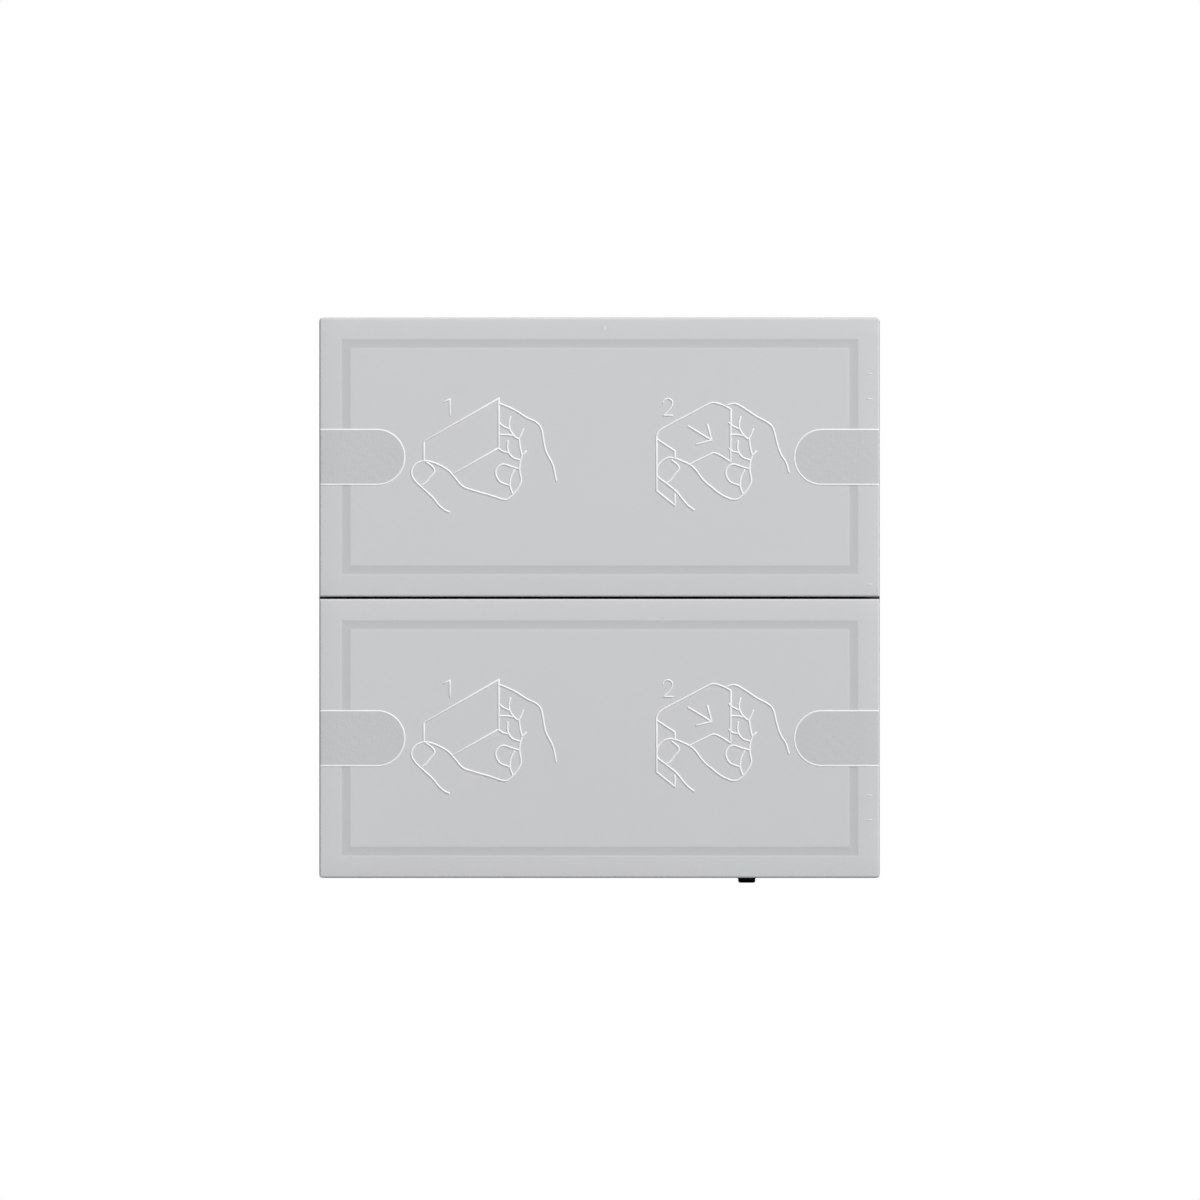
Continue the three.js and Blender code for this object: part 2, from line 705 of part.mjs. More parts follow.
for (const [gang, z] of Object.entries(GANGS)) {
  const outward = Math.sign(z);
  const access = [outward * FIXING_SCREW, outward * (FIXING_SCREW - ROCKER_Z)];
  add(`rocker_cover_${gang}`, rockerCover(), "cover", z);
  add(`rocker_carrier_${gang}`, rockerCarrier(...access), "black", z);
  add(`pivot_pin_${gang}`, pivotPin(z), "steel");
  for (const [hand, side] of Object.entries(SIDES)) {
    const where = `${gang}_${hand}`;
    add(`plunger_${where}`, plunger(side * PLUNGER_X, z), "plunger");
    add(`contact_pill_${where}`, contactPill(side * PLUNGER_X, z), "rubber");
    add(`return_spring_${where}`, returnSpring(side * PLUNGER_X, z), "steel");
  }
}

add("base_frame", baseFrame(), "black");
add("rear_housing", rearHousing(), "housing");
add("circuit_board", circuitBoard(), "board");
for (const [name, sizes] of Object.entries(CHIPS)) {
  add(name, packaged(sizes), sizes.material);
}
add("storage_capacitor", storageCapacitor(13, -6), "aluminium");
add("pin_header", pinHeader(), "chip");
add("bus_pin_positive", busPin(-1), "steel");
add("bus_pin_negative", busPin(1), "steel");
boardScrewPlaces().forEach(([x, z], i) => add(`board_screw_${i + 1}`, boardScrew(x, z), "steel"));
add("fixing_screw_upper_right", fixingScrew(1), "screw");
add("fixing_screw_lower_left", fixingScrew(-1), "screw");
add("bus_terminal_red", terminalHalf(-1), "red");
add("bus_terminal_grey", terminalHalf(1), "grey");

insert.position.y = -(FACE_Y - GRIP.beadHeight + TERMINAL.backY) / 2;
insert.position.z = -(BASE.flangeHalf + BASE.lug.tipZ) / 2;

export default insert;
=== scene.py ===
"""The looks of a two-gang rocker wall switch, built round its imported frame.

Metres throughout, in the frame's own axes: +X right, +Z up, and the room towards -Y.
"""

import json
import math

import bmesh
import bpy
import numpy as np
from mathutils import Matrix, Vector


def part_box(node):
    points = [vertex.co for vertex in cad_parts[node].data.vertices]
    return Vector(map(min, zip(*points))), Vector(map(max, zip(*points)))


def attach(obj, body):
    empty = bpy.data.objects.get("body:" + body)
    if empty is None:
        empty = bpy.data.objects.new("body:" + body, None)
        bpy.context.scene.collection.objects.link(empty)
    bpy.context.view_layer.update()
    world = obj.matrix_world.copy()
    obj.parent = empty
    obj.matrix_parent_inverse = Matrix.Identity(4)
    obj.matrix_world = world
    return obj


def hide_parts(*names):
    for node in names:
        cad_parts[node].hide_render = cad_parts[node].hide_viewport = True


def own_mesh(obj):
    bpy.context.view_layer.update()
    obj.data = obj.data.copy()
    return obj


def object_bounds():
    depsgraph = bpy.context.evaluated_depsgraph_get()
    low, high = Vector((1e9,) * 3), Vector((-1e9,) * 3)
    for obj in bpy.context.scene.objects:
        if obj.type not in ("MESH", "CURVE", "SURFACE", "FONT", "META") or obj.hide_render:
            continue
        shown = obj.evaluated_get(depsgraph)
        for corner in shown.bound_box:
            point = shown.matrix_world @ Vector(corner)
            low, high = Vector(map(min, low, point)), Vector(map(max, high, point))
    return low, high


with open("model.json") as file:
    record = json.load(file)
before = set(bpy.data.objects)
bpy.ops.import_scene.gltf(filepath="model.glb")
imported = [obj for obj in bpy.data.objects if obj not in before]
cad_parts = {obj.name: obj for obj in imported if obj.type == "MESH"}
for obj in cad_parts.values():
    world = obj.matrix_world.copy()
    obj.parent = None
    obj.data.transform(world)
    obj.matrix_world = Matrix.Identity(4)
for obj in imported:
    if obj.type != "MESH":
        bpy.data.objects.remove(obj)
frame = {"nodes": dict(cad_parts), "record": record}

cad_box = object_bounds()

MM = 0.001
GANGS = ("upper", "lower")
SIDES = {"left": -1, "right": 1}


# -------- sizes, worked out from the frame


def node_size(node):
    low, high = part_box(node)
    return low, high, (low + high) / 2


def centre_of(node):
    return node_size(node)[2]


def middle_of(node):
    """The X and Z of a node's middle, in millimetres."""
    centre = centre_of(node)
    return centre.x / MM, centre.z / MM


COVER_LOW, COVER_HIGH, _ = node_size("rocker_cover_upper")
HALF_W = (COVER_HIGH.x - COVER_LOW.x) / 2
HALF_H = (COVER_HIGH.z - COVER_LOW.z) / 2
ROCKER_Z = {gang: centre_of(f"rocker_cover_{gang}").z for gang in GANGS}
MIDDLE_Z = (ROCKER_Z["upper"] + ROCKER_Z["lower"]) / 2

FRAME_BEAD = 0.1 * MM  # how far a grip's raised edge stands out on the CAD covers
FACE_Y = COVER_LOW.y + FRAME_BEAD
SEAT_Y = FACE_Y + 9.6 * MM  # the back of the flange


def depth(mm):
    """A place on Y, so many millimetres behind the back of the flange."""
    return SEAT_Y + mm * MM


INSIDE = -8.3  # the back of a cover's plate, in millimetres from the flange
ROOT = -8.5  # in the middle of the plate: what stands up inside a cover starts here
INSIDE_Y = depth(INSIDE)
RIM_BACK_Y = depth(-7.4)
END_BACK_Y = depth(-3)
INSIDE_HALF_W = HALF_W - 1.2 * MM
INSIDE_HALF_H = HALF_H - 0.8 * MM
BOARD_BACK = 2.5
HOUSING_BACK = 12
SAME_PLACE = 1e-7  # points closer than this are one point

CORNER_R = 0.25 * MM
GAP_CORNER_R = 0.1 * MM  # the corners beside the gap are sharper
EDGE_R = 0.17 * MM
CROWN_WIDTH = 2.0 * MM  # the border that falls away towards the edge
CROWN_DROP = 0.065 * MM
GROOVE_OUT = 2.05 * MM  # distance of the groove's outer and inner walls from the edge
GROOVE_IN = 2.87 * MM
GROOVE_DEPTH = 0.022 * MM
GROOVE_WALL = 0.22 * MM
GRIP_R = 2.69 * MM
GRIP_ARC_X = HALF_W - 5.66 * MM
GRIP_ENDS = (0.11 * MM, 0.06 * MM)  # the grip's last columns, on the rounded edge
BEAD_WIDTH = 0.17 * MM
BEAD_HEIGHT = 0.045 * MM
LINE_WIDTH = 0.175 * MM
NUMERAL_WIDTH = 0.14 * MM
LINE_HEIGHT = 0.07 * MM
PAD_RISE = 0.02 * MM
PEBBLE = 0.014 * MM
PEG_X = 9 * MM


# -------- meshes and pieces


def mesh_of(name, bm):
    bmesh.ops.recalc_face_normals(bm, faces=bm.faces)
    mesh = bpy.data.meshes.new(name)
    bm.to_mesh(mesh)
    bm.free()
    return mesh


def add_object(name, data):
    made = bpy.data.objects.new(name, data)
    bpy.context.scene.collection.objects.link(made)
    return made


def add_piece(name, bm, body, slot, look=None, replaces=(), sharp_deg=35):
    """Makes a piece of a bmesh. It takes its slot's look unless another one is named."""
    piece = add_object(name, mesh_of(name, bm))
    piece.data.shade_smooth()
    piece.data.set_sharp_from_angle(angle=math.radians(sharp_deg))
    piece.data.materials.append(LOOKS[look or slot])
    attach(piece, body)
    if replaces:
        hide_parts(*replaces)
    return piece


def soften(piece, width, segments=2, limit="ANGLE"):
    """Rounds a piece's edges: the sharp ones, or only those with a bevel weight."""
    bevel = piece.modifiers.new("soft_edges", "BEVEL")
    bevel.width = width
    bevel.segments = segments
    bevel.limit_method = limit
    bevel.angle_limit = math.radians(40)
    bevel.use_clamp_overlap = False
    bevel.harden_normals = True
    return piece


def add_closed(bm, rings):
    """Joins equal rings of points into one closed skin, with a flat cap on each end."""
    made = [[bm.verts.new(p) for p in ring] for ring in rings]
    count = len(made[0])
    for near, far in zip(made, made[1:]):
        for i in range(count):
            j = (i + 1) % count
            bm.faces.new((near[i], near[j], far[j], far[i]))
    bm.faces.new(made[0])
    bm.faces.new(made[-1][::-1])


def add_box(bm, low, high):
    """A box between two corners, given as (x, depth, z) in millimetres."""
    (x0, y0, z0), (x1, y1, z1) = low, high
    corners = ((x0, z0), (x1, z0), (x1, z1), (x0, z1))
    add_closed(bm, [[(x * MM, depth(y), z * MM) for x, z in corners] for y in (y0, y1)])


def add_turned(bm, profile, centre, segments=48, ripple=None):
    """Turns a profile round an axis along Y: (radius, depth) pairs in millimetres, from axis to axis."""
    rings = []
    turns = [2 * math.pi * k / segments for k in range(segments)]
    for radius, y in profile:
        ring = []
        for turn in turns if radius else [0]:
            r = (radius + (ripple(turn, y) if ripple else 0)) * MM
            x, z = centre.x + r * math.cos(turn), centre.z + r * math.sin(turn)
            ring.append(bm.verts.new((x, depth(y), z)))
        rings.append(ring)
    for near, far in zip(rings, rings[1:]):
        for k in range(segments):
            n = (k + 1) % segments
            around = (near[k % len(near)], near[n % len(near)], far[n % len(far)], far[k % len(far)])
            bm.faces.new(list(dict.fromkeys(around)))


def eased(profile, radius, steps=3):
    """A profile with the corners between its ends rounded."""
    points = [np.array(p, float) for p in profile]
    done = [points[0]]
    for before, corner, after in zip(points, points[1:], points[2:]):
        to_before, to_after = before - corner, after - corner
        reach = min(radius, np.linalg.norm(to_before) / 2.2, np.linalg.norm(to_after) / 2.2)
        start = corner + to_before / np.linalg.norm(to_before) * reach
        end = corner + to_after / np.linalg.norm(to_after) * reach
        for t in np.linspace(0, 1, steps + 1):
            done.append((1 - t) ** 2 * start + 2 * t * (1 - t) * corner + t**2 * end)
    return [tuple(p) for p in done + [points[-1]]]


def carved(bm, tool):
    """Cuts one closed skin out of another."""
    whole, knife = [add_object("carving", mesh_of("carving", part)) for part in (bm, tool)]
    cut = whole.modifiers.new("cut", "BOOLEAN")
    cut.solver = "EXACT"
    cut.object = knife
    result = bmesh.new()
    result.from_object(whole, bpy.context.evaluated_depsgraph_get())
    for part in (whole, knife):
        bpy.data.objects.remove(part)
    return result


def node_copy(node):
    """The shape of a CAD node, with each of its flat faces whole again."""
    bm = bmesh.new()
    bm.from_mesh(frame["nodes"][node].data)
    bmesh.ops.remove_doubles(bm, verts=bm.verts, dist=0.0005 * MM)
    bmesh.ops.dissolve_limit(bm, angle_limit=math.radians(1), verts=bm.verts, edges=bm.edges)
    return bm


def body_of_node(node):
    bodies = frame["record"]["behaviour"]["bodies"]
    return next(body for body, members in bodies.items() if node in members)


def slot_of_node(node):
    return next(s["material_slot"] for s in frame["record"]["subparts"] if s["node"] == node)


def stand_in(node, bm, **options):
    """Puts a finer piece in the place of a CAD node."""
    name = f"{node}_shape"
    return add_piece(name, bm, body_of_node(node), slot_of_node(node), replaces=[node], **options)


def turned_stand_in(node, profile, **options):
    """Puts a turned piece in the place of a CAD node, on the node's own axis."""
    bm = bmesh.new()
    add_turned(bm, profile, centre_of(node), **options)
    stand_in(node, bm)


# -------- the front of a cover


def crown(distance):
    """How far the border lies behind the face at a distance from the edge."""
    share = np.clip(1 - distance / CROWN_WIDTH, 0, 1)
    return CROWN_DROP * share**2


def smooth_step(value, start, width):
    t = np.clip((value - start) / width, 0, 1)
    return t * t * (3 - 2 * t)


def corner_radius(z, outward):
    """The radius of the corner on the same side of the middle as z."""
    return np.where(z * outward > 0, CORNER_R, GAP_CORNER_R)


def edge_distance(x, z, outward):
    """Distance from the outline of a cover, whose corners are round."""
    radius = corner_radius(z, outward)
    past_x = np.abs(x) - (HALF_W - radius)
    past_z = np.abs(z) - (HALF_H - radius)
    straight = np.minimum(-past_x, -past_z) + radius
    turning = radius - np.hypot(past_x, past_z)
    return np.where((past_x > 0) & (past_z > 0), turning, straight)


def plain_depth(x, z, outward=1):
    """How far the crowned border and its rounded edge lie behind FACE_Y. The groove isn't in it."""
    crowned = crown(HALF_W - np.abs(x)) + crown(HALF_H - np.abs(z))
    short = np.clip(EDGE_R - edge_distance(x, z, outward), 0, EDGE_R)
    return crowned + EDGE_R - np.sqrt(EDGE_R**2 - short**2)


def groove_share(x, z):
    """1 on the groove's floor and 0 beside it. The groove stops at the grips."""
    inset = np.minimum(HALF_W - np.abs(x), HALF_H - np.abs(z))
    groove = smooth_step(inset, GROOVE_OUT, GROOVE_WALL) - smooth_step(inset, GROOVE_IN, GROOVE_WALL)
    near_grip = 1 - smooth_step(np.abs(z), GRIP_R - 0.1 * MM, 0.15 * MM)
    return groove * (1 - near_grip * (np.abs(x) > GRIP_ARC_X))


def grid_lines(half, extra=()):
    """Places of the grid lines across the face: close together at the edge and the groove's walls."""
    fillet = [EDGE_R * (1 - math.cos(math.radians(t))) for t in (0, 18, 36, 54, 72, 90)]
    border = [0.21 * MM, CORNER_R] + [CROWN_WIDTH * s for s in (0.2, 0.3, 0.4, 0.5, 0.6, 0.7, 0.8, 0.9, 1)]
    walls = [start + GROOVE_WALL * s for start in (GROOVE_OUT, GROOVE_IN) for s in (0, 0.25, 0.5, 0.75, 1)]
    inner = [GROOVE_IN + 0.4 * MM, GROOVE_IN + 0.9 * MM]
    edges = sorted(fillet + border + walls + inner)
    middle_half = half - inner[-1]
    count = 2 * round(middle_half / (1.2 * MM))
    middle = np.linspace(-middle_half, middle_half, count + 1)[1:-1]
    lines = [half - d for d in edges] + [d - half for d in edges] + list(middle)
    lines += [side * place for side in (-1, 1) for place in extra]
    lines = np.array(sorted(lines))
    return lines[np.insert(np.diff(lines) > SAME_PLACE, 0, True)]


def grid_outline(last_i, last_j):
    """The outer places of a grid in order: its bottom row, right column, top row and left column."""
    path = [(i, 0) for i in range(last_i)] + [(last_i, j) for j in range(last_j)]
    return path + [(i, last_j) for i in range(last_i, 0, -1)] + [(0, j) for j in range(last_j, 0, -1)]


def round_corner(x, z, outward):
    """Moves grid points of a square corner onto the round one."""
    radius = corner_radius(z, outward)
    a = np.clip((np.abs(x) - (HALF_W - radius)) / radius, 0, 1)
    b = np.clip((np.abs(z) - (HALF_H - radius)) / radius, 0, 1)
    in_corner = (a > 0) & (b > 0)
    new_x = HALF_W - radius + radius * a * np.sqrt(1 - b**2 / 2)
    new_z = HALF_H - radius + radius * b * np.sqrt(1 - a**2 / 2)
    return np.where(in_corner, np.sign(x) * new_x, x), np.where(in_corner, np.sign(z) * new_z, z)


def cover_front(bm, centre_z):
    """The front of a cover, as a grid of points with faces between them. Also says where its columns are."""
    xs = grid_lines(HALF_W, extra=[INSIDE_HALF_W])
    zs = grid_lines(HALF_H, extra=[GRIP_R + d * MM for d in (-0.1, -0.05, 0, 0.05)])
    outward = math.copysign(1, centre_z - MIDDLE_Z)
    x, z = round_corner(*np.meshgrid(xs, zs, indexing="ij"), outward)
    groove = groove_share(x, z)
    y = FACE_Y + plain_depth(x, z, outward) + GROOVE_DEPTH * groove
    # the groove layer also tells the cover material where to paint shade
    groove_layer = bm.verts.layers.float.new("groove")
    grid = []
    for i in range(len(xs)):
        grid.append([bm.verts.new((x[i, j], y[i, j], z[i, j] + centre_z)) for j in range(len(zs))])
        for j, vert in enumerate(grid[i]):
            vert[groove_layer] = groove[i, j]
    for left, right in zip(grid, grid[1:]):
        for j in range(len(zs) - 1):
            bm.faces.new((left[j], right[j], right[j + 1], left[j + 1]))
    return grid, xs


def cover_body(centre_z):
    """A whole cover in one skin: its front, its low rim, its deep end walls and its hollow."""
    bm = bmesh.new()
    grid, xs = cover_front(bm, centre_z)
    path = grid_outline(len(grid) - 1, len(grid[0]) - 1)
    count = len(path)
    front = [grid[i][j] for i, j in path]
    rim = [bm.verts.new((v.co.x, RIM_BACK_Y, v.co.z)) for v in front]
    for k in range(count):
        n = (k + 1) % count
        bm.faces.new((front[k], front[n], rim[n], rim[k]))

    corner = {}
    for sx in (-1, 1):
        for sz in (-1, 1):
            for where, y in (("rim", RIM_BACK_Y), ("in", INSIDE_Y)):
                place = (sx * INSIDE_HALF_W, y, sz * INSIDE_HALF_H + centre_z)
                corner[sx, sz, where] = bm.verts.new(place)

    # The two end walls, which reach deeper than the rim.
    for sx in (-1, 1):
        run = [k for k in range(count) if xs[path[k][0]] * sx >= INSIDE_HALF_W - SAME_PLACE]
        while (run[0] - 1) % count in run:
            run = run[1:] + run[:1]
        back = {k: bm.verts.new((rim[k].co.x, END_BACK_Y, rim[k].co.z)) for k in run}
        for k, n in zip(run, run[1:]):
            bm.faces.new((rim[k], rim[n], back[n], back[k]))
        bm.faces.new([back[k] for k in run])
        first, last = run[0], run[-1]
        sz = 1 if rim[first].co.z > centre_z else -1
        inner_wall = [back[first], rim[first], corner[sx, sz, "rim"], corner[sx, sz, "in"]]
        inner_wall += [corner[sx, -sz, "in"], corner[sx, -sz, "rim"], rim[last], back[last]]
        bm.faces.new(inner_wall)

    # The rim's two long sides, and the inside of the plate.
    for sz, edge_j in ((-1, 0), (1, len(grid[0]) - 1)):
        strip = [rim[k] for k in range(count) if path[k][1] == edge_j]
        strip = [v for v in strip if abs(v.co.x) <= INSIDE_HALF_W + SAME_PLACE]
        strip.sort(key=lambda v: v.co.x)
        bm.faces.new(strip + [corner[1, sz, "rim"], corner[-1, sz, "rim"]])
        inner_step = ((-1, "rim"), (1, "rim"), (1, "in"), (-1, "in"))
        bm.faces.new([corner[sx, sz, where] for sx, where in inner_step])
    bm.faces.new([corner[sx, sz, "in"] for sx, sz in ((-1, -1), (1, -1), (1, 1), (-1, 1))])
    weigh_back_edges(bm)
    return bm


def weigh_back_edges(bm):
    """Marks the sharp edges of a cover's rim and walls for rounding."""
    weight = bm.edges.layers.float.new("bevel_weight_edge")
    bmesh.ops.recalc_face_normals(bm, faces=bm.faces)
    for edge in bm.edges:
        behind = min(v.co.y for v in edge.verts) > FACE_Y + 1 * MM
        if behind and edge.calc_face_angle(0) > math.radians(60):
            edge[weight] = 1


def pebble(x, z):
    """Uneven rounded grain, between 0 and 1, without any random draw."""
    u, v = x / MM, z / MM
    bumps = np.sin(9.1 * u + 1.7 * np.sin(4.3 * v)) * np.sin(8.3 * v + 1.9 * np.sin(5.1 * u))
    fine = np.sin(17.9 * u + 2.3 * np.cos(11.7 * v)) * np.sin(16.3 * v + 2.1 * np.cos(13.1 * u))
    return 0.5 + 0.32 * bumps + 0.18 * fine


def grip_pad(bm, centre_z, side):
    """The pebbled floor of a finger grip: a thin stadium-shaped patch that follows the cover."""
    pitch, tip_half, thickness = 0.11 * MM, 0.05 * MM, 0.25 * MM
    inner_x = GRIP_ARC_X - GRIP_R + 0.02 * MM
    straight = np.linspace(inner_x, HALF_W - EDGE_R, round((HALF_W - EDGE_R - inner_x) / pitch) + 1)
    columns = len(straight) - 1 + len(GRIP_ENDS)
    rows = round(2 * GRIP_R / pitch)
    x = np.append(straight, [HALF_W - d for d in GRIP_ENDS])[:, None] + np.zeros(rows + 1)
    short = np.maximum(0, GRIP_ARC_X - x)
    half = np.sqrt(np.maximum(GRIP_R**2 - short**2, tip_half**2))
    z = half * np.linspace(-1, 1, rows + 1)
    rise = PAD_RISE + PEBBLE * (pebble(side * x, z + centre_z) - 0.5)
    y = FACE_Y + plain_depth(x, z) - rise

    def sheet(behind):
        """One side of the patch, as columns of points."""
        points = np.dstack((side * x, y + behind, z + centre_z))
        return [[bm.verts.new(point) for point in column] for column in points]

    top, under = sheet(0), sheet(thickness)
    for i in range(columns):
        for j in range(rows):
            bm.faces.new((top[i][j], top[i + 1][j], top[i + 1][j + 1], top[i][j + 1]))
            bm.faces.new((under[i][j], under[i][j + 1], under[i + 1][j + 1], under[i + 1][j]))
    edge = grid_outline(columns, rows)
    for (i, j), (m, n) in zip(edge, edge[1:] + edge[:1]):
        bm.faces.new((top[i][j], under[i][j], under[m][n], top[m][n]))


# -------- raised lines


def smooth_curve(points, step=0.12):
    """A Catmull-Rom curve through the points, in millimetres, cut into short steps."""
    points = [np.array(p, float) for p in points]
    if len(points) == 2:
        return points
    padded = [2 * points[0] - points[1]] + points + [2 * points[-1] - points[-2]]
    curve = []
    for a, b, c, d in zip(padded, padded[1:], padded[2:], padded[3:]):
        cuts = max(2, math.ceil(np.linalg.norm(c - b) / step))
        for t in np.arange(cuts) / cuts:
            quadratic = (2 * a - 5 * b + 4 * c - d) * t**2
            cubic = (3 * b - a - 3 * c + d) * t**3
            curve.append(0.5 * (2 * b + (c - a) * t + quadratic + cubic))
    return curve + [points[-1]]


# How a raised line runs out at its ends: (distance past the end in line widths, share of its section).
RUN_OUT = ((0.25, 0.75), (0.45, 0.15))


def raised_line(bm, path, centre_z, width=LINE_WIDTH, height=LINE_HEIGHT):
    """A low rounded ridge along a path of (x, z) points in millimetres, standing on the face."""
    profile = [(math.cos(math.radians(t)), math.sin(math.radians(t))) for t in range(0, 181, 30)]
    profile += [(-0.9, -0.7), (0.9, -0.7)]
    path = [np.array(p, float) * MM for p in path]
    rings = []
    last = len(path) - 1
    for k, point in enumerate(path):
        ahead = path[min(k + 1, last)] - path[max(k - 1, 0)]
        along = ahead / np.linalg.norm(ahead)
        across = np.array((-along[1], along[0]))
        sections = [(point, 1.0)]
        if k == 0:
            sections = [(point - along * width * past, share) for past, share in RUN_OUT[::-1]] + sections
        if k == last:
            sections += [(point + along * width * past, share) for past, share in RUN_OUT]
        for centre, share in sections:
            ring = []
            for s, h in profile:
                x, z = centre + across * s * share * width / 2
                y = FACE_Y + float(plain_depth(x, z)) - h * height * share
                ring.append((x, y, z + centre_z))
            rings.append(ring)
    add_closed(bm, rings)


# The line drawing on each cover, in millimetres from the rocker's centre.
NUMERAL_ONE = [[(-14.7, 5.7), (-14.7, 4.1)], [(-15.3, 5.4), (-14.7, 5.7)]]
NUMERAL_TWO = [
    [(6.2, 5.3), (6.35, 5.6), (6.75, 5.75), (7.1, 5.55), (7.15, 5.2), (6.9, 4.7), (6.3, 4.1)],
    [(6.3, 4.1), (7.2, 4.1)],
]
FLAT_PANEL = [
    [(-17.25, 1.55), (-9.9, 5.75)],
    [(-9.9, 5.8), (-9.9, 0.9)],
    [(-17.25, 1.5), (-17.25, -0.35)],
    [(-9.9, 0.9), (-14.3, -1.6)],
]
BOWED_PANEL = [
    [(5.6, 2.1), (5.9, 2.6), (6.8, 3.15), (8.9, 4.25), (10.6, 5.15), (11.2, 5.35), (12, 5.15), (12.9, 4.7)],
    [(5.6, 2.1), (5.6, -3.3)],
    [(12.9, 4.7), (12.85, -0.45)],
    [(8.75, -0.75), (10.6, 0.15), (11.25, 0.4), (11.9, 0.15), (12.85, -0.45)],
    [(5.65, 1.75), (7.4, 0.6)],
    [(7.4, 0.6), (7.4, -0.15)],
    [(5.6, -3.3), (7.4, -4.75)],
    [(7.4, -4.75), (7.4, -3.65)],
]
ARROW = [[(8.7, 3.05), (11, 1.65)], [(10.6, 3.2), (11, 1.65)], [(9.5, 1.25), (11, 1.65)]]
FINGERS = [
    [(-9.9, 3.4), (-9.5, 3.05), (-8.85, 2.75)],
    [(-8.75, 3.95), (-8.9, 3.3), (-8.8, 2.7), (-8.45, 2.15), (-8, 1.8), (-7.75, 2.15), (-7.5, 2.75)],
    [(-9.8, 2.2), (-9.1, 2.2), (-8.5, 2.1)],
    [(-7.9, 1.8), (-7.8, 0.95), (-7.6, 0.15)],
    [(-7.6, 0.15), (-7.2, 0.6)],
    [(-9.9, 0.85), (-9.5, 0.55), (-8.95, 0.45)],
    [(-9, 1.6), (-9.05, 0.95), (-8.9, 0.4), (-8.5, -0.05), (-7.8, -0.3)],
    [(-7.6, 0.15), (-7.8, -0.5), (-7.85, -1.3), (-7.7, -2.3), (-8, -3.05), (-8.5, -3.7)],
    [(-7.9, -1.15), (-8.6, -0.95), (-9.45, -0.7), (-10, -1), (-10.2, -1.6), (-9.8, -2.4), (-8.85, -2.8)],
    [(-8.35, -1.25), (-8.7, -1.95), (-8.8, -2.8), (-8.5, -3.7)],
]
PALM = [(-9.5, -4.15), (-9, -4.1), (-8.5, -3.7)]
BACK_OF_HAND = {
    1: [(-9.9, 5.25), (-9.5, 5.15), (-8.3, 4.6), (-7.2, 3.9), (-6.2, 3.4), (-5.7, 2.7), (-5.3, 0.7),
        (-4.6, -0.75), (-4.25, -2.3)],
    2: [(12.5, 5.1), (13.3, 5.25), (14.2, 4.8), (15.4, 4), (16.5, 3.4), (17.05, 2.8), (17.45, 1.3),
        (17.8, 0.3), (18.3, -0.5), (18.6, -1.5)],
}
THUMB = {
    1: [(-17.3, -0.35), (-18, -0.65), (-18.4, -1.15), (-18.45, -1.7), (-18.1, -2.35), (-17.1, -3.3),
        (-16.4, -3.95), (-15.8, -4.7), (-15.2, -5.2), (-14.75, -5.4)],
    2: [(6.1, -0.4), (5.75, -0.8), (5.62, -1.3), (5.7, -1.9), (6.5, -2.55), (7.55, -3.4), (8.2, -4.2),
        (8.75, -4.8), (9.3, -5.2)],
}
THUMB_NAIL = {
    1: [(-17, -0.5), (-16.45, -0.9), (-16.2, -1.4), (-16.65, -1.95), (-17.05, -2.5), (-17.45, -2.75)],
    2: [(7.1, -0.3), (7.65, -0.75), (7.8, -1.15), (7.35, -1.75), (6.95, -2.3), (6.55, -2.55)],
}
THUMB_TOP = {
    1: [(-17.3, -0.35), (-16.6, -0.45), (-15.7, -0.8), (-14.8, -1.35), (-14.1, -2.15), (-13.4, -2.9),
        (-12.3, -3.3), (-10.9, -3.7)],
    2: [(6.1, -0.4), (6.5, -0.15), (7.1, -0.05), (8.15, -0.4), (9.2, -1), (10.2, -2.25), (11, -2.95),
        (11.9, -3.65), (12.6, -4)],
}
SECOND_HAND_X = 22.6  # how far right of the first hand's fingers the second's are

TOP_TICK = [(0.5, 12.45), (0.5, 12.8)]
RIGHT_TICKS = {"upper": (8.2, 5.7, -12.5), "lower": (-5.6, -8.0)}


def shifted(lines, dx):
    return [[(x + dx, z) for x, z in line] for line in lines]


def pictogram_lines():
    lines = FLAT_PANEL + BOWED_PANEL + ARROW + FINGERS + shifted(FINGERS, SECOND_HAND_X)
    for step, palm in ((1, PALM), (2, shifted([PALM], SECOND_HAND_X)[0])):
        lines += [BACK_OF_HAND[step], THUMB[step], THUMB_NAIL[step], THUMB_TOP[step] + palm]
    return lines


def add_pictogram(bm, centre_z):
    for line in pictogram_lines():
        raised_line(bm, smooth_curve(line), centre_z)
    for line in NUMERAL_ONE + NUMERAL_TWO:
        raised_line(bm, smooth_curve(line), centre_z, NUMERAL_WIDTH)


def add_grip_bead(bm, centre_z, side):
    """The thin raised edge of a finger grip."""
    radius = GRIP_R / MM
    arc_x = GRIP_ARC_X / MM
    end_x = (HALF_W - 0.1 * MM) / MM
    arc = [(arc_x - radius * math.sin(t), radius * math.cos(t)) for t in np.linspace(0, math.pi, 41)]
    straight = [end_x, *np.linspace((HALF_W - EDGE_R) / MM, arc_x, 14)[:-1]]
    path = [(x, radius) for x in straight] + arc + [(x, -radius) for x in straight[::-1]]
    raised_line(bm, [(side * x, z) for x, z in path], centre_z, BEAD_WIDTH, BEAD_HEIGHT)


def add_moulding_ticks(bm, gang):
    """The tiny raised dashes that the mould leaves on the border."""
    lines = [TOP_TICK] if gang == "upper" else []
    lines += [[(26.3, z), (26.75, z)] for z in RIGHT_TICKS[gang]]
    for line in lines:
        raised_line(bm, line, ROCKER_Z[gang], width=0.12 * MM, height=0.03 * MM)


# -------- the inside of a cover


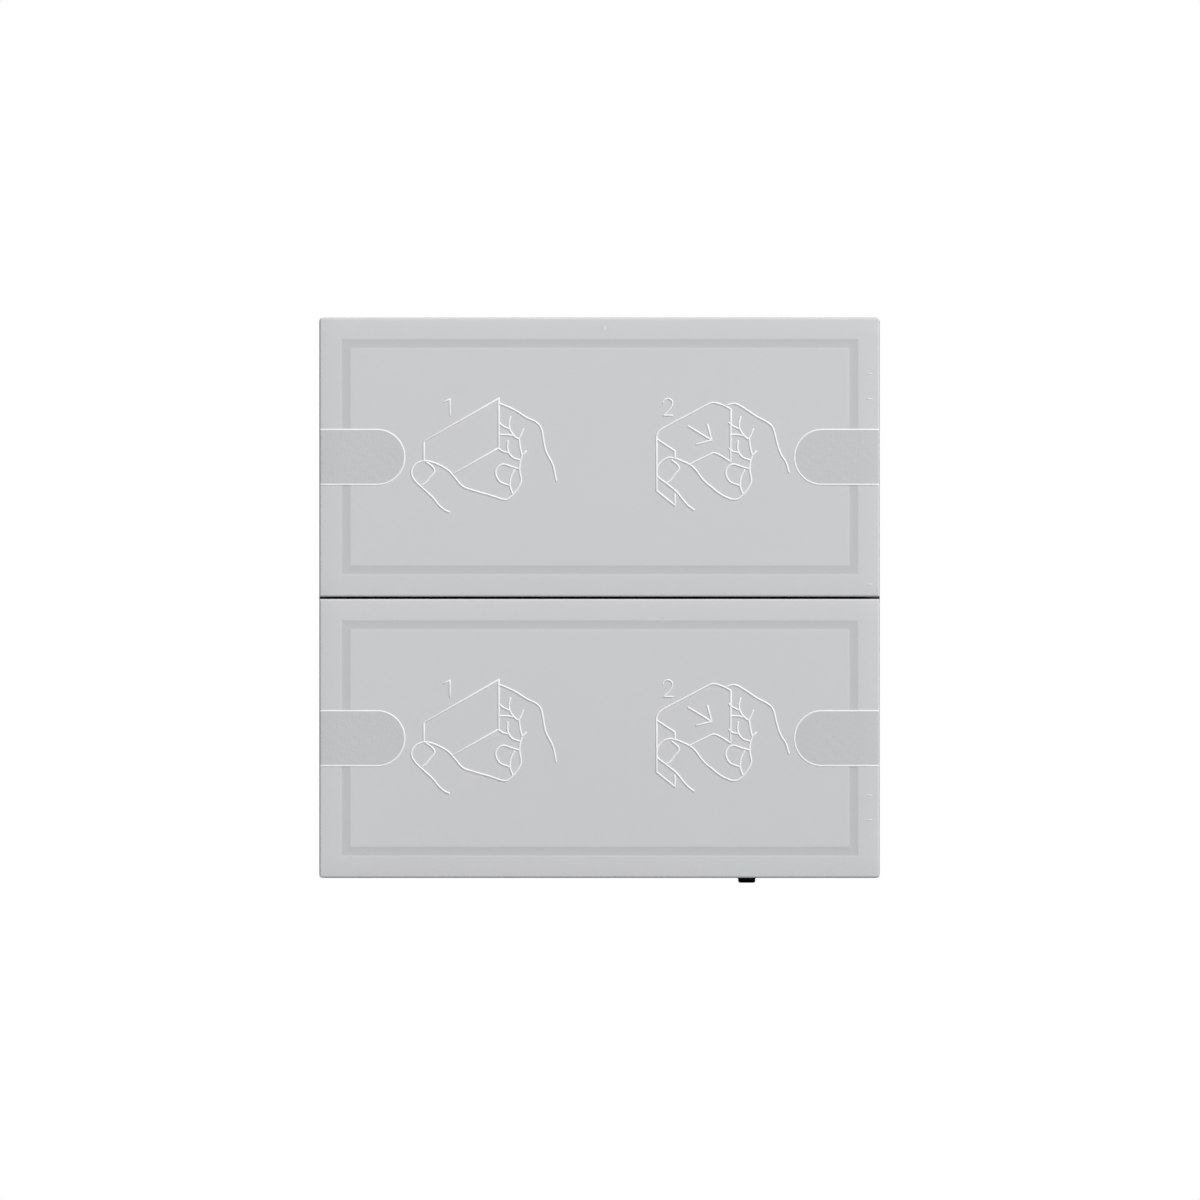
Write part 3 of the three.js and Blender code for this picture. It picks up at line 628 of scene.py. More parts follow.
def add_peg(bm, centre):
    """A peg that locates a cover on its carrier, with a fillet at its root."""
    radius, foot_r, tip = 1.4, 2.1, -6.6
    profile = [(0, ROOT), (foot_r, ROOT), (foot_r, INSIDE), (radius, INSIDE), (radius, tip), (0, tip)]
    add_turned(bm, eased(profile, 0.4), centre)


def add_catch_lip(bm, side, centre_z):
    """The sloped lip inside an end wall that holds a cover on its carrier."""
    half_length, run_out = 8, 0.4
    front, back = -4.1, -3.1
    reach_at = ((front, 0), (-3.85, 0.22), (-3.75, 0.25), (-3.6, 0.2), (back, 0))
    wall_x, root_x = INSIDE_HALF_W / MM + 0.001, INSIDE_HALF_W / MM + 0.2
    rings = []
    for z in (-half_length, run_out - half_length, half_length - run_out, half_length):
        full = 1 if abs(z) < half_length else 0
        slope = [(wall_x - reach * full, y) for y, reach in reach_at]
        section = [(root_x, front)] + slope + [(root_x, back)]
        rings.append([(side * x * MM, depth(y), z * MM + centre_z) for x, y in section])
    add_closed(bm, rings)


def add_inside_ribs(bm, centre_z):
    """Low ribs that stiffen a cover's plate, and the round marks that the ejector pins leave."""
    z = centre_z / MM
    half_rib, half_length, half_height = 0.3, 24.5, 11.5
    top = INSIDE + 0.18
    for rib_z in (-6.5, 6.5):
        add_box(bm, (-half_length, ROOT, z + rib_z - half_rib), (half_length, top, z + rib_z + half_rib))
    for rib_x in (-20.5, -13, -4.5, 4.5, 13, 20.5):
        low, high = (rib_x - half_rib, ROOT, z - half_height), (rib_x + half_rib, top + 0.01, z + half_height)
        add_box(bm, low, high)
    dish = INSIDE + 0.03
    ring = [(0, ROOT), (1.1, ROOT), (1.1, INSIDE + 0.06), (0.95, INSIDE + 0.1), (0.8, dish), (0, dish)]
    for mark_x in (-17, 0, 17):
        for mark_z in (-9.5, 9.5):
            add_turned(bm, ring, Vector((mark_x * MM, 0, centre_z + mark_z * MM)), segments=32)


def build_cover(gang):
    z = ROCKER_Z[gang]
    body = f"{gang}_cover"
    name = f"rocker_cover_{gang}"
    shell = add_piece(f"{name}_shell", cover_body(z), body, "cover", replaces=[name])
    soften(shell, 0.12 * MM, limit="WEIGHT")
    names = ("grip_pads", "grip_beads", "pictogram", "moulding_ticks", "inside")
    parts = {part: bmesh.new() for part in names}
    for side in SIDES.values():
        grip_pad(parts["grip_pads"], z, side)
        add_grip_bead(parts["grip_beads"], z, side)
        add_peg(parts["inside"], Vector((side * PEG_X, 0, z)))
        add_catch_lip(parts["inside"], side, z)
    add_pictogram(parts["pictogram"], z)
    add_moulding_ticks(parts["moulding_ticks"], gang)
    add_inside_ribs(parts["inside"], z)
    looks = {"grip_pads": "cover_grip", "moulding_ticks": "cover_mark", "inside": "cover"}
    for part, bm in parts.items():
        add_piece(f"{name}_{part}", bm, body, "cover", look=looks.get(part, "cover_line"), sharp_deg=60)


# -------- carriers, base frame and housing


def build_moulding(node, edge):
    """A part in the shape of its CAD node, with its edges rounded."""
    soften(stand_in(node, node_copy(node)), edge)


def round_upright_corners(bm, radius, from_middle):
    """Rounds the long edges along Y that lie far from the middle."""
    corners = []
    for edge in bm.edges:
        a, b = (v.co - Vector((0, 0, MIDDLE_Z)) for v in edge.verts)
        along_y = math.hypot(a.x - b.x, a.z - b.z) < 0.01 * MM and abs(a.y - b.y) > 5 * MM
        if along_y and math.hypot(a.x, a.z) > from_middle:
            corners.append(edge)
    bmesh.ops.bevel(bm, geom=corners, offset=radius, segments=4, profile=0.5, affect="EDGES")


def add_ejector_marks(bm, places, y):
    """Round witness marks of ejector pins on a face that looks to +Y: a low rim round a shallow dish."""
    outline = [(0, -0.1), (1.25, -0.1), (1.25, 0.03), (1.15, 0.08), (1.05, 0.03), (0, 0.015)]
    for x, z in places:
        centre = Vector((x * MM, 0, z * MM + MIDDLE_Z))
        add_turned(bm, [(radius, y + above) for radius, above in outline], centre, segments=32)


def add_relief(bm, half_w, half_h, x, z, root, lower=0):
    """A low block round (x, z) on the back of the housing. Crossing blocks differ a little in height."""
    middle = MIDDLE_Z / MM + z
    front, back = HOUSING_BACK - root + lower, HOUSING_BACK + 0.3 - lower
    add_box(bm, (x - half_w, front, middle - half_h), (x + half_w, back, middle + half_h))


def add_rib_frame(bm, half_w, half_h, z):
    """A raised rectangular frame on the back of the housing."""
    half, root = 0.175, 0.2
    for side in (-1, 1):
        add_relief(bm, half, half_h + half, side * half_w, z, root)
        add_relief(bm, half_w + half, half, 0, z + side * half_h, root, lower=0.01)


def add_sign(bm, x, z, plus):
    """A moulded polarity sign: a dash, and an upright through it for plus."""
    reach, half, root = 1.1, 0.2, 0.1
    add_relief(bm, reach, half, x, z, root)
    if plus:
        add_relief(bm, half, reach, x, z, root, lower=0.01)


def build_housing():
    cup = node_copy("rear_housing")
    round_upright_corners(cup, radius=0.6 * MM, from_middle=27.5 * MM)
    soften(stand_in("rear_housing", cup), 0.12 * MM)
    label_z, socket_z = 9, -9
    bm = bmesh.new()
    add_rib_frame(bm, half_w=14.4, half_h=5.9, z=label_z)
    add_rib_frame(bm, half_w=6.9, half_h=6.2, z=socket_z)
    add_sign(bm, -9.6, socket_z, plus=True)
    add_sign(bm, 9.6, socket_z, plus=False)
    marks = [(x, z) for x in (-17.5, 17.5) for z in (-10, 0, 10)]
    marks += [(0, 0), (-10, -18.5), (10, -18.5), (0, 18.5)]
    add_ejector_marks(bm, marks, HOUSING_BACK)
    details = add_piece("rear_housing_details", bm, "base", "housing")
    soften(details, 0.05 * MM)


def build_base():
    build_moulding("base_frame", 0.1 * MM)
    bm = bmesh.new()
    marks = [(x, z) for x in (-25.2, 25.2) for z in (-12, 0, 12)]
    marks += [(x, z) for x in (-12, 6) for z in (-25.2, 25.2)]
    add_ejector_marks(bm, marks, 0)
    add_piece("base_frame_marks", bm, "base", "base")


# -------- plungers, pins and screws


def build_plunger(where):
    """A plunger with its rubber pill and its coil spring."""
    dome_r, head_r, stem_r, top, head_back, end = 12, 2.4, 1.15, -6.35, -5.6, -0.2
    dome = [(r, top + dome_r - math.sqrt(dome_r**2 - r**2)) for r in (0, 0.6, 1.2, 1.8, 2.2)]
    stem = [(head_r, top + 0.4), (head_r, head_back), (stem_r, head_back)]
    stem += [(stem_r, end - 0.15), (stem_r - 0.2, end), (0, end)]
    turned_stand_in(f"plunger_{where}", dome + eased([dome[-1]] + stem, 0.15)[1:])

    skirt = [(1.2, -0.62), (1.9, -0.62), (1.9, 0.28), (1.7, 0.35), (1.2, 0.35), (1.1, 0.25)]
    turned_stand_in(f"contact_pill_{where}", [(0, -0.15), (1.2, -0.15)] + eased(skirt, 0.12) + [(0, 0.25)])

    bm = bmesh.new()
    place = centre_of(f"plunger_{where}")
    add_coil(bm, place, coil_r=1.75, wire_r=0.2, turns=3.5, front=-5.35, back=-3.05)
    spring = stand_in(f"return_spring_{where}", bm)
    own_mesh(spring)


def add_coil(bm, centre, coil_r, wire_r, turns, front, back):
    """A compression spring round an axis along Y, with its end coils closed up."""
    steps, round_steps = int(36 * turns), 12
    closed_up = 0.7
    rings = []
    for t in np.linspace(0, 1, steps + 1):
        angle = 2 * math.pi * turns * t
        rise = t - closed_up * math.sin(2 * math.pi * t) / (2 * math.pi)
        slope = (front - back) * (1 - closed_up * math.cos(2 * math.pi * t)) / (2 * math.pi * turns * coil_r)
        outward = np.array((math.cos(angle), 0, math.sin(angle)))
        along = np.array((-math.sin(angle), slope, math.cos(angle))) / math.hypot(1, slope)
        across = np.cross(along, outward)
        middle = coil_r * outward + np.array((0, back + (front - back) * rise, 0))
        ring = []
        for turn in 2 * math.pi * np.arange(round_steps) / round_steps:
            x, y, z = middle + wire_r * (math.cos(turn) * outward + math.sin(turn) * across)
            ring.append((centre.x + x * MM, depth(y), centre.z + z * MM))
        rings.append(ring)
    add_closed(bm, rings)


def build_pivot_pin(node):
    """A steel pin with chamfered ends, along Z."""
    low, high, centre = node_size(node)
    radius, chamfer, segments = (high.x - low.x) / 2, 0.12 * MM, 40
    turns = 2 * math.pi * np.arange(segments) / segments
    profile = [(low.z, radius - chamfer), (low.z + chamfer, radius)]
    profile += [(high.z - chamfer, radius), (high.z, radius - chamfer)]
    rings = []
    for z, r in profile:
        rings.append([(centre.x + r * math.cos(t), centre.y + r * math.sin(t), z) for t in turns])
    bm = bmesh.new()
    add_closed(bm, rings)
    stand_in(node, bm)


def thread(start, end, pitch, height):
    """The ripple of a screw thread between two depths, fading out at both ends."""

    def ripple(turn, y):
        along = min(max((y - start) / pitch, 0), max((end - y) / pitch, 0), 1)
        phase = (y / pitch - turn / (2 * math.pi)) % 1
        return height * along * (1 - abs(2 * phase - 1))

    return ripple


def cross_recess(centre, top, inward, arm):
    """The tapered cross that a screwdriver fits, as a solid to cut with."""
    bm = bmesh.new()
    rings = []
    for y, reach, half in ((top - 0.5 * inward, arm * 1.15, 0.26), (top + 0.75 * inward, arm * 0.62, 0.17)):
        quarter = [(reach, -half), (reach, half), (half, half)]
        outline = []
        for turn in range(4):
            c, s = math.cos(turn * math.pi / 2), math.sin(turn * math.pi / 2)
            outline += [(c * x - s * z, s * x + c * z) for x, z in quarter]
        rings.append([(centre.x + x * MM, depth(y), centre.z + z * MM) for x, z in outline])
    add_closed(bm, rings)
    return bm


BOARD_SCREW = {"head_r": 1.7, "head_h": 1.1, "shank_r": 0.75, "seat": 2.52, "tip": -0.7, "pitch": 0.5}
FIXING_SCREW = {"head_r": 2.2, "head_h": 1.4, "shank_r": 1.35, "seat": -2.82, "tip": 6, "pitch": 0.8}


def build_screw(node, head_r, head_h, shank_r, seat, tip, pitch):
    """A pan-head screw with a thread and a cross recess. It points the way from its seat to its tip."""
    centre = centre_of(node)
    way = math.copysign(1, tip - seat)
    crest = 0.22 * pitch
    root_r = shank_r - crest
    top = seat - way * head_h
    head = [(0, top), (head_r * 0.5, top + way * 0.08), (head_r * 0.85, top + way * 0.3 * head_h)]
    head += [(head_r, top + way * 0.7 * head_h), (head_r, seat), (root_r, seat)]
    rows = int(abs(tip - seat) / pitch * 8)
    shank = [(root_r, y) for y in np.linspace(seat + way * 0.2, tip - way * 0.7, rows)]
    point = [(0.2, tip), (0, tip)]
    low, high = sorted((seat + way * 0.3, tip - way * 0.2))
    bm = bmesh.new()
    add_turned(bm, eased(head, 0.2) + shank + point, centre, ripple=thread(low, high, pitch, crest))
    bm = carved(bm, cross_recess(centre, top, way, 0.62 * head_r))
    stand_in(node, bm, sharp_deg=40)


# -------- the electronics


def build_board():
    """The board in its CAD shape, with gilded contact fields under the plungers."""
    build_moulding("circuit_board", 0.03 * MM)
    bm = bmesh.new()
    front, back = 0.885, 0.94
    pitch, half_width, field_r = 0.55, 0.16, 2.1
    for gang in GANGS:
        for side in SIDES:
            x, middle_z = middle_of(f"plunger_{gang}_{side}")
            for k in range(-3, 4):
                z = middle_z + k * pitch
                reach = math.sqrt(field_r**2 - (k * pitch) ** 2)
                start, end = (-reach, reach * 0.75) if k % 2 else (-reach * 0.75, reach)
                add_box(bm, (x + start, front, z - half_width), (x + end, back, z + half_width))
    add_piece("circuit_board_contacts", bm, "base", "board", look="gold")


def add_gull_wing(bm, x, z, out_x, out_z, top, width):
    """One bent lead of a surface-mounted package: out from its side, down, and along the board."""
    across = (out_z, out_x)
    foot, thick = BOARD_BACK + 0.06, 0.1
    path = [(-0.2, top), (0.35, top), (0.55, top - 0.15), (0.6, foot + 0.1), (0.75, foot), (1.25, foot)]
    rings = []
    for k, (out, y) in enumerate(path):
        upright = k in (2, 3)
        ring = []
        for s, h in ((-1, 0), (1, 0), (1, thick), (-1, thick)):
            reach = out - h if upright else out
            px = x + out_x * reach + s * across[0] * width / 2
            pz = z + out_z * reach + s * across[1] * width / 2
            ring.append((px * MM, depth(y if upright else y + h), pz * MM))
        rings.append(ring)
    add_closed(bm, rings)


def build_package(node, pitch, per_side, sides):
    """A component in its CAD shape with rounded edges, and a row of leads on each of the sides named."""
    build_moulding(node, 0.08 * MM)
    low, high, _ = node_size(node)
    half_x, half_z = (high.x - low.x) / 2 / MM, (high.z - low.z) / 2 / MM
    x, z = middle_of(node)
    bm = bmesh.new()
    for out_x, out_z in sides:
        for k in range(per_side):
            step = (k - (per_side - 1) / 2) * pitch
            at_x = x + out_x * half_x + abs(out_z) * step
            at_z = z + out_z * half_z + abs(out_x) * step
            add_gull_wing(bm, at_x, at_z, out_x, out_z, 3.1, pitch * 0.42)
    add_piece(f"{node}_leads", bm, "base", slot_of_node(node), look="steel")


def build_capacitor():
    """A can with a crimp round its foot, on a square plastic base."""
    radius, foot, end, crimp = 3.1, 2.55, 8.75, 3.75
    profile = [(0, foot), (radius - 0.2, foot), (radius, foot + 0.2), (radius, crimp - 0.3)]
    profile += [(radius - 0.2, crimp), (radius, crimp + 0.3)]
    profile += [(radius, end - 0.3), (radius - 0.3, end), (0, end)]
    turned_stand_in("storage_capacitor", eased(profile, 0.2))
    x, z = middle_of("storage_capacitor")
    half = 3.3
    base = bmesh.new()
    add_box(base, (x - half, BOARD_BACK, z - half), (x + half, BOARD_BACK + 0.5, z + half))
    soften(add_piece("storage_capacitor_base", base, "base", "pin_block"), 0.2 * MM)


def build_bus_pin(node):
    radius, root, end = 0.5, 0.75, 11.5
    profile = [(0, root), (radius, root), (radius, end - 0.5), (0.42, end - 0.2), (0.2, end), (0, end)]
    turned_stand_in(node, eased(profile, 0.1), segments=32)


# -------- the bus terminal


def wire_funnel(x, z, radius, back):
    """A wire hole that widens at its mouth, as a solid to cut with."""
    bm = bmesh.new()
    profile = [(0, back - 5), (radius, back - 5), (radius, back - 0.7)]
    profile += [(radius * 1.35, back), (radius * 1.5, back + 0.5), (0, back + 0.5)]
    add_turned(bm, profile, Vector((x * MM, 0, z * MM)), segments=36)
    return bm


def terminal_cuts(x, z, pin_x, front, back):
    """Everything that is cut out of one half of the terminal."""
    cuts = [wire_funnel(x + dx, z + dz, 0.8, back) for dx in (-1.35, 1.35) for dz in (-3, 3)]
    socket = bmesh.new()
    profile = [(0, front - 0.5), (1.15, front - 0.5), (1.0, front), (0.75, front + 0.4)]
    profile += [(0.75, front + 5.5), (0, front + 5.5)]
    add_turned(socket, profile, Vector((pin_x * MM, 0, z * MM)), segments=36)
    slot = bmesh.new()
    add_box(slot, (x - 0.9, back - 2.5, z - 0.45), (x + 0.9, back + 1, z + 0.45))
    return cuts + [socket, slot]


def build_terminal(node, side):
    low, high, _ = node_size(node)
    x, z = middle_of(node)
    to_mm = lambda corner, y: (corner.x / MM, y, corner.z / MM)
    front, back = 7.4, 17.6
    bm = bmesh.new()
    add_box(bm, to_mm(low, front), to_mm(high, back))
    bmesh.ops.bevel(bm, geom=list(bm.edges), offset=0.35 * MM, segments=3, profile=0.5, affect="EDGES")
    for tool in terminal_cuts(x, z, side * 2.9, front, back):
        bm = carved(bm, tool)
    soften(stand_in(node, bm), 0.06 * MM)
    outer = high.x if side > 0 else low.x
    ribs = bmesh.new()
    for k in range(5):
        y = back - 1.4 - k * 0.7
        x0, x1 = sorted((outer / MM - side * 0.2, outer / MM + side * 0.12))
        add_box(ribs, (x0, y - 0.16, z - 3.2), (x1, y + 0.16, z + 3.2))
    soften(add_piece(f"{node}_ribs", ribs, "bus_terminal", slot_of_node(node)), 0.06 * MM)


# -------- materials


class Nodes:
    """A material's node tree, with short calls for the nodes used here."""

    def __init__(self, name):
        self.material = bpy.data.materials.new(name)
        self.material.use_nodes = True
        self.tree = self.material.node_tree
        self.shader = self.tree.nodes["Principled BSDF"]
        self.place = self.node("TexCoord").outputs["Object"]

    def node(self, kind, **inputs):
        node = self.tree.nodes.new("ShaderNode" + kind)
        self.feed_all(node, inputs)
        return node

    def feed(self, socket, value):
        """Gives an input a value, a colour or the output of another node."""
        if hasattr(value, "is_output"):
            self.tree.links.new(value, socket)
        else:
            socket.default_value = (*value, 1) if isinstance(value, tuple) else value

    def feed_all(self, node, inputs):
        for name, value in inputs.items():
            self.feed(node.inputs[name.replace("_", " ")], value)

    def set(self, **inputs):
        """Sets inputs of the shader and hands back the material."""
        self.feed_all(self.shader, inputs)
        return self.material

    def scaled(self, size, stretch=(1, 1, 1)):
        """The place on the object, counted in grains of `size` metres."""
        return self.node("Mapping", Vector=self.place, Scale=[s / size for s in stretch]).outputs["Vector"]

    def noise(self, size, detail=2.0, roughness=0.5, stretch=(1, 1, 1)):
        """Noise whose grain is about `size` metres, between 0 and 1."""
        place = self.scaled(size, stretch)
        return self.node("TexNoise", Vector=place, Scale=1, Detail=detail, Roughness=roughness).outputs["Fac"]

    def cell_walls(self, size):
        """Distance from the walls between irregular cells."""
        texture = self.node("TexVoronoi", Vector=self.scaled(size), Scale=1)
        texture.feature = "DISTANCE_TO_EDGE"
        return texture.outputs["Distance"]

    def attribute(self, name):
        """A number that the mesh holds at each point."""
        node = self.node("Attribute")
        node.attribute_name = name
        return node.outputs["Fac"]

    def vector_math(self, operation, *vectors):
        node = self.node("VectorMath")
        node.operation = operation
        for socket, vector in zip(node.inputs, vectors):
            self.feed(socket, vector)
        return node.outputs["Value"]

    def distance(self):
        """How far a point is from the middle of the object."""
        return self.vector_math("LENGTH", self.place)

    def camera_sees(self):
        return self.node("LightPath").outputs["Is Camera Ray"]

    def spread(self, value, low, high, from_low=0.3, from_high=0.7):
        """Maps from_low to from_high onto low to high, and stops at the ends."""
        ends = {"From Min": from_low, "From Max": from_high, "To Min": low, "To Max": high}
        return self.node("MapRange", Value=value, **ends).outputs["Result"]

    def blend(self, factor, first, second):
        """Goes from the first colour to the second as the factor goes from 0 to 1."""
        node = self.node("Mix")
        node.data_type = "RGBA"
        for index, value in ((0, factor), (6, first), (7, second)):
            self.feed(node.inputs[index], value)
        return node.outputs[2]

    def worn_edges(self, radius):
        """About 1 on edges of the shape and 0 on its flats."""
        bevel = self.node("Bevel", Radius=radius)
        bevel.samples = 4
        normal = self.node("NewGeometry").outputs["Normal"]
        flatness = self.vector_math("DOT_PRODUCT", bevel.outputs["Normal"], normal)
        return self.spread(flatness, 1, 0, from_low=0.8, from_high=0.99)

    def bump(self, *heights):
        """Adds small relief: pairs of (height value, depth in metres)."""
        before = {}
        for value, depth in heights:
            node = self.node("Bump", Distance=depth, Height=value, **before)
            before = {"Normal": node.outputs["Normal"]}
        self.set(**before)


def shade_of(color, factor):
    return tuple(c * factor for c in color)


def moulded_plastic(name, color, rough, grain=0.12 * MM, relief=0.004 * MM, wear=0.0):
    """Moulded plastic with an eroded tool finish: fine grain, faint flow marks and slightly rubbed edges."""
    n = Nodes(name)
    flow = n.noise(9 * MM, detail=3, stretch=(1, 1, 0.35))
    fine = n.noise(grain, detail=3, roughness=0.6)
    base = n.blend(n.spread(flow, 0, 1), shade_of(color, 0.975), shade_of(color, 1.02))
    if wear:
        base = n.blend(n.worn_edges(0.12 * MM), base, shade_of(color, 1 + wear))
    n.bump((fine, relief))
    return n.set(Base_Color=base, Roughness=n.spread(fine, rough - 0.06, rough + 0.06), IOR=1.5)


def cover_plastic(name, color, rough, relief):
    """The light-grey satin plastic of the rockers: a barely visible grain, and painted shade on the groove's
    floor.
    """
    n = Nodes(name)
    fine = n.noise(0.09 * MM, detail=2, roughness=0.55)
    cloud = n.noise(7 * MM, detail=2)
    base = n.blend(n.spread(cloud, 0, 1), shade_of(color, 0.996), shade_of(color, 1.003))
    # painted shade: the groove's floor is coloured darker, in place of the shade that falls in the recess
    base = n.blend(n.attribute("groove"), base, shade_of(color, GROOVE_PAINTED_SHADE))
    n.bump((fine, relief))
    rough_map = n.spread(fine, rough - 0.04, rough + 0.05)
    return n.set(Base_Color=base, Roughness=rough_map, IOR=1.46, Specular_IOR_Level=0.35)


def bare_metal(name, color, rough, brush=(1, 1, 1), brush_size=0.3 * MM):
    """Metal with drawn or turned marks, a thin uneven plating and tiny scratches."""
    n = Nodes(name)
    marks = n.noise(brush_size, detail=4, roughness=0.7, stretch=brush)
    film = n.noise(2.2 * MM, detail=3)
    base = n.blend(n.spread(film, 0, 1), shade_of(color, 0.86), shade_of(color, 1.05))
    n.bump((marks, 0.003 * MM))
    return n.set(Base_Color=base, Metallic=1.0, Roughness=n.spread(marks, rough - 0.08, rough + 0.12))


def conductive_rubber(name):
    n = Nodes(name)
    fine = n.noise(0.08 * MM, detail=4, roughness=0.7)
    dust = n.noise(1.1 * MM, detail=4)
    base = n.blend(n.spread(dust, 0, 1), (0.018, 0.018, 0.019), (0.035, 0.035, 0.037))
    n.bump((fine, 0.006 * MM))
    return n.set(Base_Color=base, Roughness=0.85)


def solder_mask(name):
    """A circuit board: green mask over paler copper areas, and brown glass laminate showing through."""
    n = Nodes(name)
    pours = n.cell_walls(3.2 * MM)
    weave = n.noise(0.25 * MM, detail=1, stretch=(1, 1, 4))
    copper = n.spread(pours, 0, 1, from_low=0.07, from_high=0.1)
    base = n.blend(copper, (0.008, 0.075, 0.03), (0.02, 0.17, 0.06))
    n.bump((copper, 0.02 * MM), (weave, 0.003 * MM))
    return n.set(Base_Color=base, Roughness=0.32, Coat_Weight=0.4)


def chip_epoxy(name, color):
    n = Nodes(name)
    fine = n.noise(0.06 * MM, detail=5, roughness=0.75)
    base = n.blend(n.spread(fine, 0, 1), shade_of(color, 0.8), shade_of(color, 1.3))
    n.bump((fine, 0.006 * MM))
    return n.set(Base_Color=base, Roughness=0.62)


RED = (0.42, 0.018, 0.014)
DARK_GREY = (0.045, 0.048, 0.055)
COVER_COLOR = (0.62, 0.625, 0.638)
# painted shade: how much darker the groove's floor is coloured
GROOVE_PAINTED_SHADE = 0.88
GRIP_TONE = 0.92
LINE_PAINTED_HIGHLIGHT = 1.42  # painted highlight: the raised lines are coloured lighter than the face, standing in for the light they catch
# painted highlight: the moulding marks are coloured lighter than the face, standing in for the light they
# catch
MARK_PAINTED_HIGHLIGHT = 1.18
LINE_HIGHLIGHT_COLOR = shade_of(COVER_COLOR, LINE_PAINTED_HIGHLIGHT)
MARK_HIGHLIGHT_COLOR = shade_of(COVER_COLOR, MARK_PAINTED_HIGHLIGHT)
LOOKS = {
    "cover": cover_plastic("cover_satin_grey", COVER_COLOR, 0.5, 0.0012 * MM),
    "cover_grip": cover_plastic("cover_grip_pebble", shade_of(COVER_COLOR, GRIP_TONE), 0.6, 0.002 * MM),
    "cover_line": cover_plastic("cover_raised_line_painted_highlight", LINE_HIGHLIGHT_COLOR, 0.45, 0.0008 * MM),
    "cover_mark": cover_plastic("cover_moulding_mark_painted_highlight", MARK_HIGHLIGHT_COLOR, 0.5, 0.0012 * MM),
    "carrier": moulded_plastic("carrier_black", (0.022, 0.022, 0.024), 0.5, wear=1.2),
    "base": moulded_plastic("base_black", (0.034, 0.034, 0.036), 0.48, wear=1.0),
    "housing": moulded_plastic("housing_charcoal", (0.03, 0.031, 0.034), 0.55, relief=0.008 * MM, wear=1.0),
    "plunger": moulded_plastic("acetal_white", (0.78, 0.77, 0.72), 0.3, relief=0.002 * MM, wear=0.05),
    "rubber": conductive_rubber("conductive_rubber"),
    "steel": bare_metal("bright_steel", (0.62, 0.62, 0.63), 0.22, brush=(1, 1, 0.1)),
    "spring": bare_metal("spring_wire", (0.52, 0.52, 0.54), 0.28, brush=(1, 1, 1)),
    "screw": bare_metal("zinc_plate", (0.66, 0.64, 0.58), 0.3, brush=(1, 0.3, 1)),
    "board": solder_mask("solder_mask_green"),
    "gold": bare_metal("gilded_copper", (0.85, 0.62, 0.28), 0.28),
    "chip": chip_epoxy("chip_epoxy", (0.02, 0.02, 0.022)),
    "inductor": chip_epoxy("ferrite", (0.05, 0.05, 0.052)),
    "capacitor": bare_metal("capacitor_can", (0.75, 0.76, 0.77), 0.25, brush=(1, 0.2, 1)),
    "pin_block": moulded_plastic("nylon_black", (0.02, 0.02, 0.02), 0.45),
    "terminal_red": moulded_plastic("terminal_red", RED, 0.33, relief=0.002 * MM, wear=0.25),
    "terminal_grey": moulded_plastic("terminal_grey", DARK_GREY, 0.33, relief=0.002 * MM, wear=0.4),
}


# -------- floor, light and camera

FADE_START = 55 * MM  # the distances at which the floor begins to fade and is gone
FADE_END = 105 * MM


def floor_look():
    """Pale to the camera, fading into the white surround, and darker to all other rays, so that it
    doesn't light the object from below."""
    n = Nodes("pale_floor")
    grain = n.noise(40 * MM, detail=3)
    near = n.blend(n.spread(grain, 0, 1), (0.78, 0.78, 0.78), (0.82, 0.82, 0.82))
    far = n.spread(n.distance(), 0, 1, from_low=FADE_START, from_high=FADE_END)
    black, white = (0, 0, 0), (1, 1, 1)
    base = n.blend(n.camera_sees(), (0.4, 0.4, 0.4), n.blend(far, near, black))
    glow = n.blend(n.camera_sees(), black, n.blend(far, black, white))
    return n.set(Base_Color=base, Emission_Color=glow, Emission_Strength=1.0, Roughness=0.8)


def build_floor():
    half, level = 1.2, cad_box[0].z
    corners = [(-half, -half, level), (half, -half, level), (half, half, level), (-half, half, level)]
    mesh = bpy.data.meshes.new("floor")
    mesh.from_pydata(corners, [], [(0, 1, 2, 3)])
    mesh.materials.append(floor_look())
    add_object("floor", mesh)


def build_world(seen=1.0, ambient=0.22):
    """A white surround for the camera, and a dimmer one for the light it gives."""
    world = bpy.data.worlds.new("studio")
    bpy.context.scene.world = world
    world.use_nodes = True
    tree = world.node_tree
    path = tree.nodes.new("ShaderNodeLightPath")
    strength = tree.nodes.new("ShaderNodeMapRange")
    strength.inputs["To Min"].default_value = ambient
    strength.inputs["To Max"].default_value = seen
    tree.links.new(path.outputs["Is Camera Ray"], strength.inputs["Value"])
    background = tree.nodes["Background"]
    background.inputs["Color"].default_value = (1, 1, 1, 1)
    tree.links.new(strength.outputs["Result"], background.inputs["Strength"])


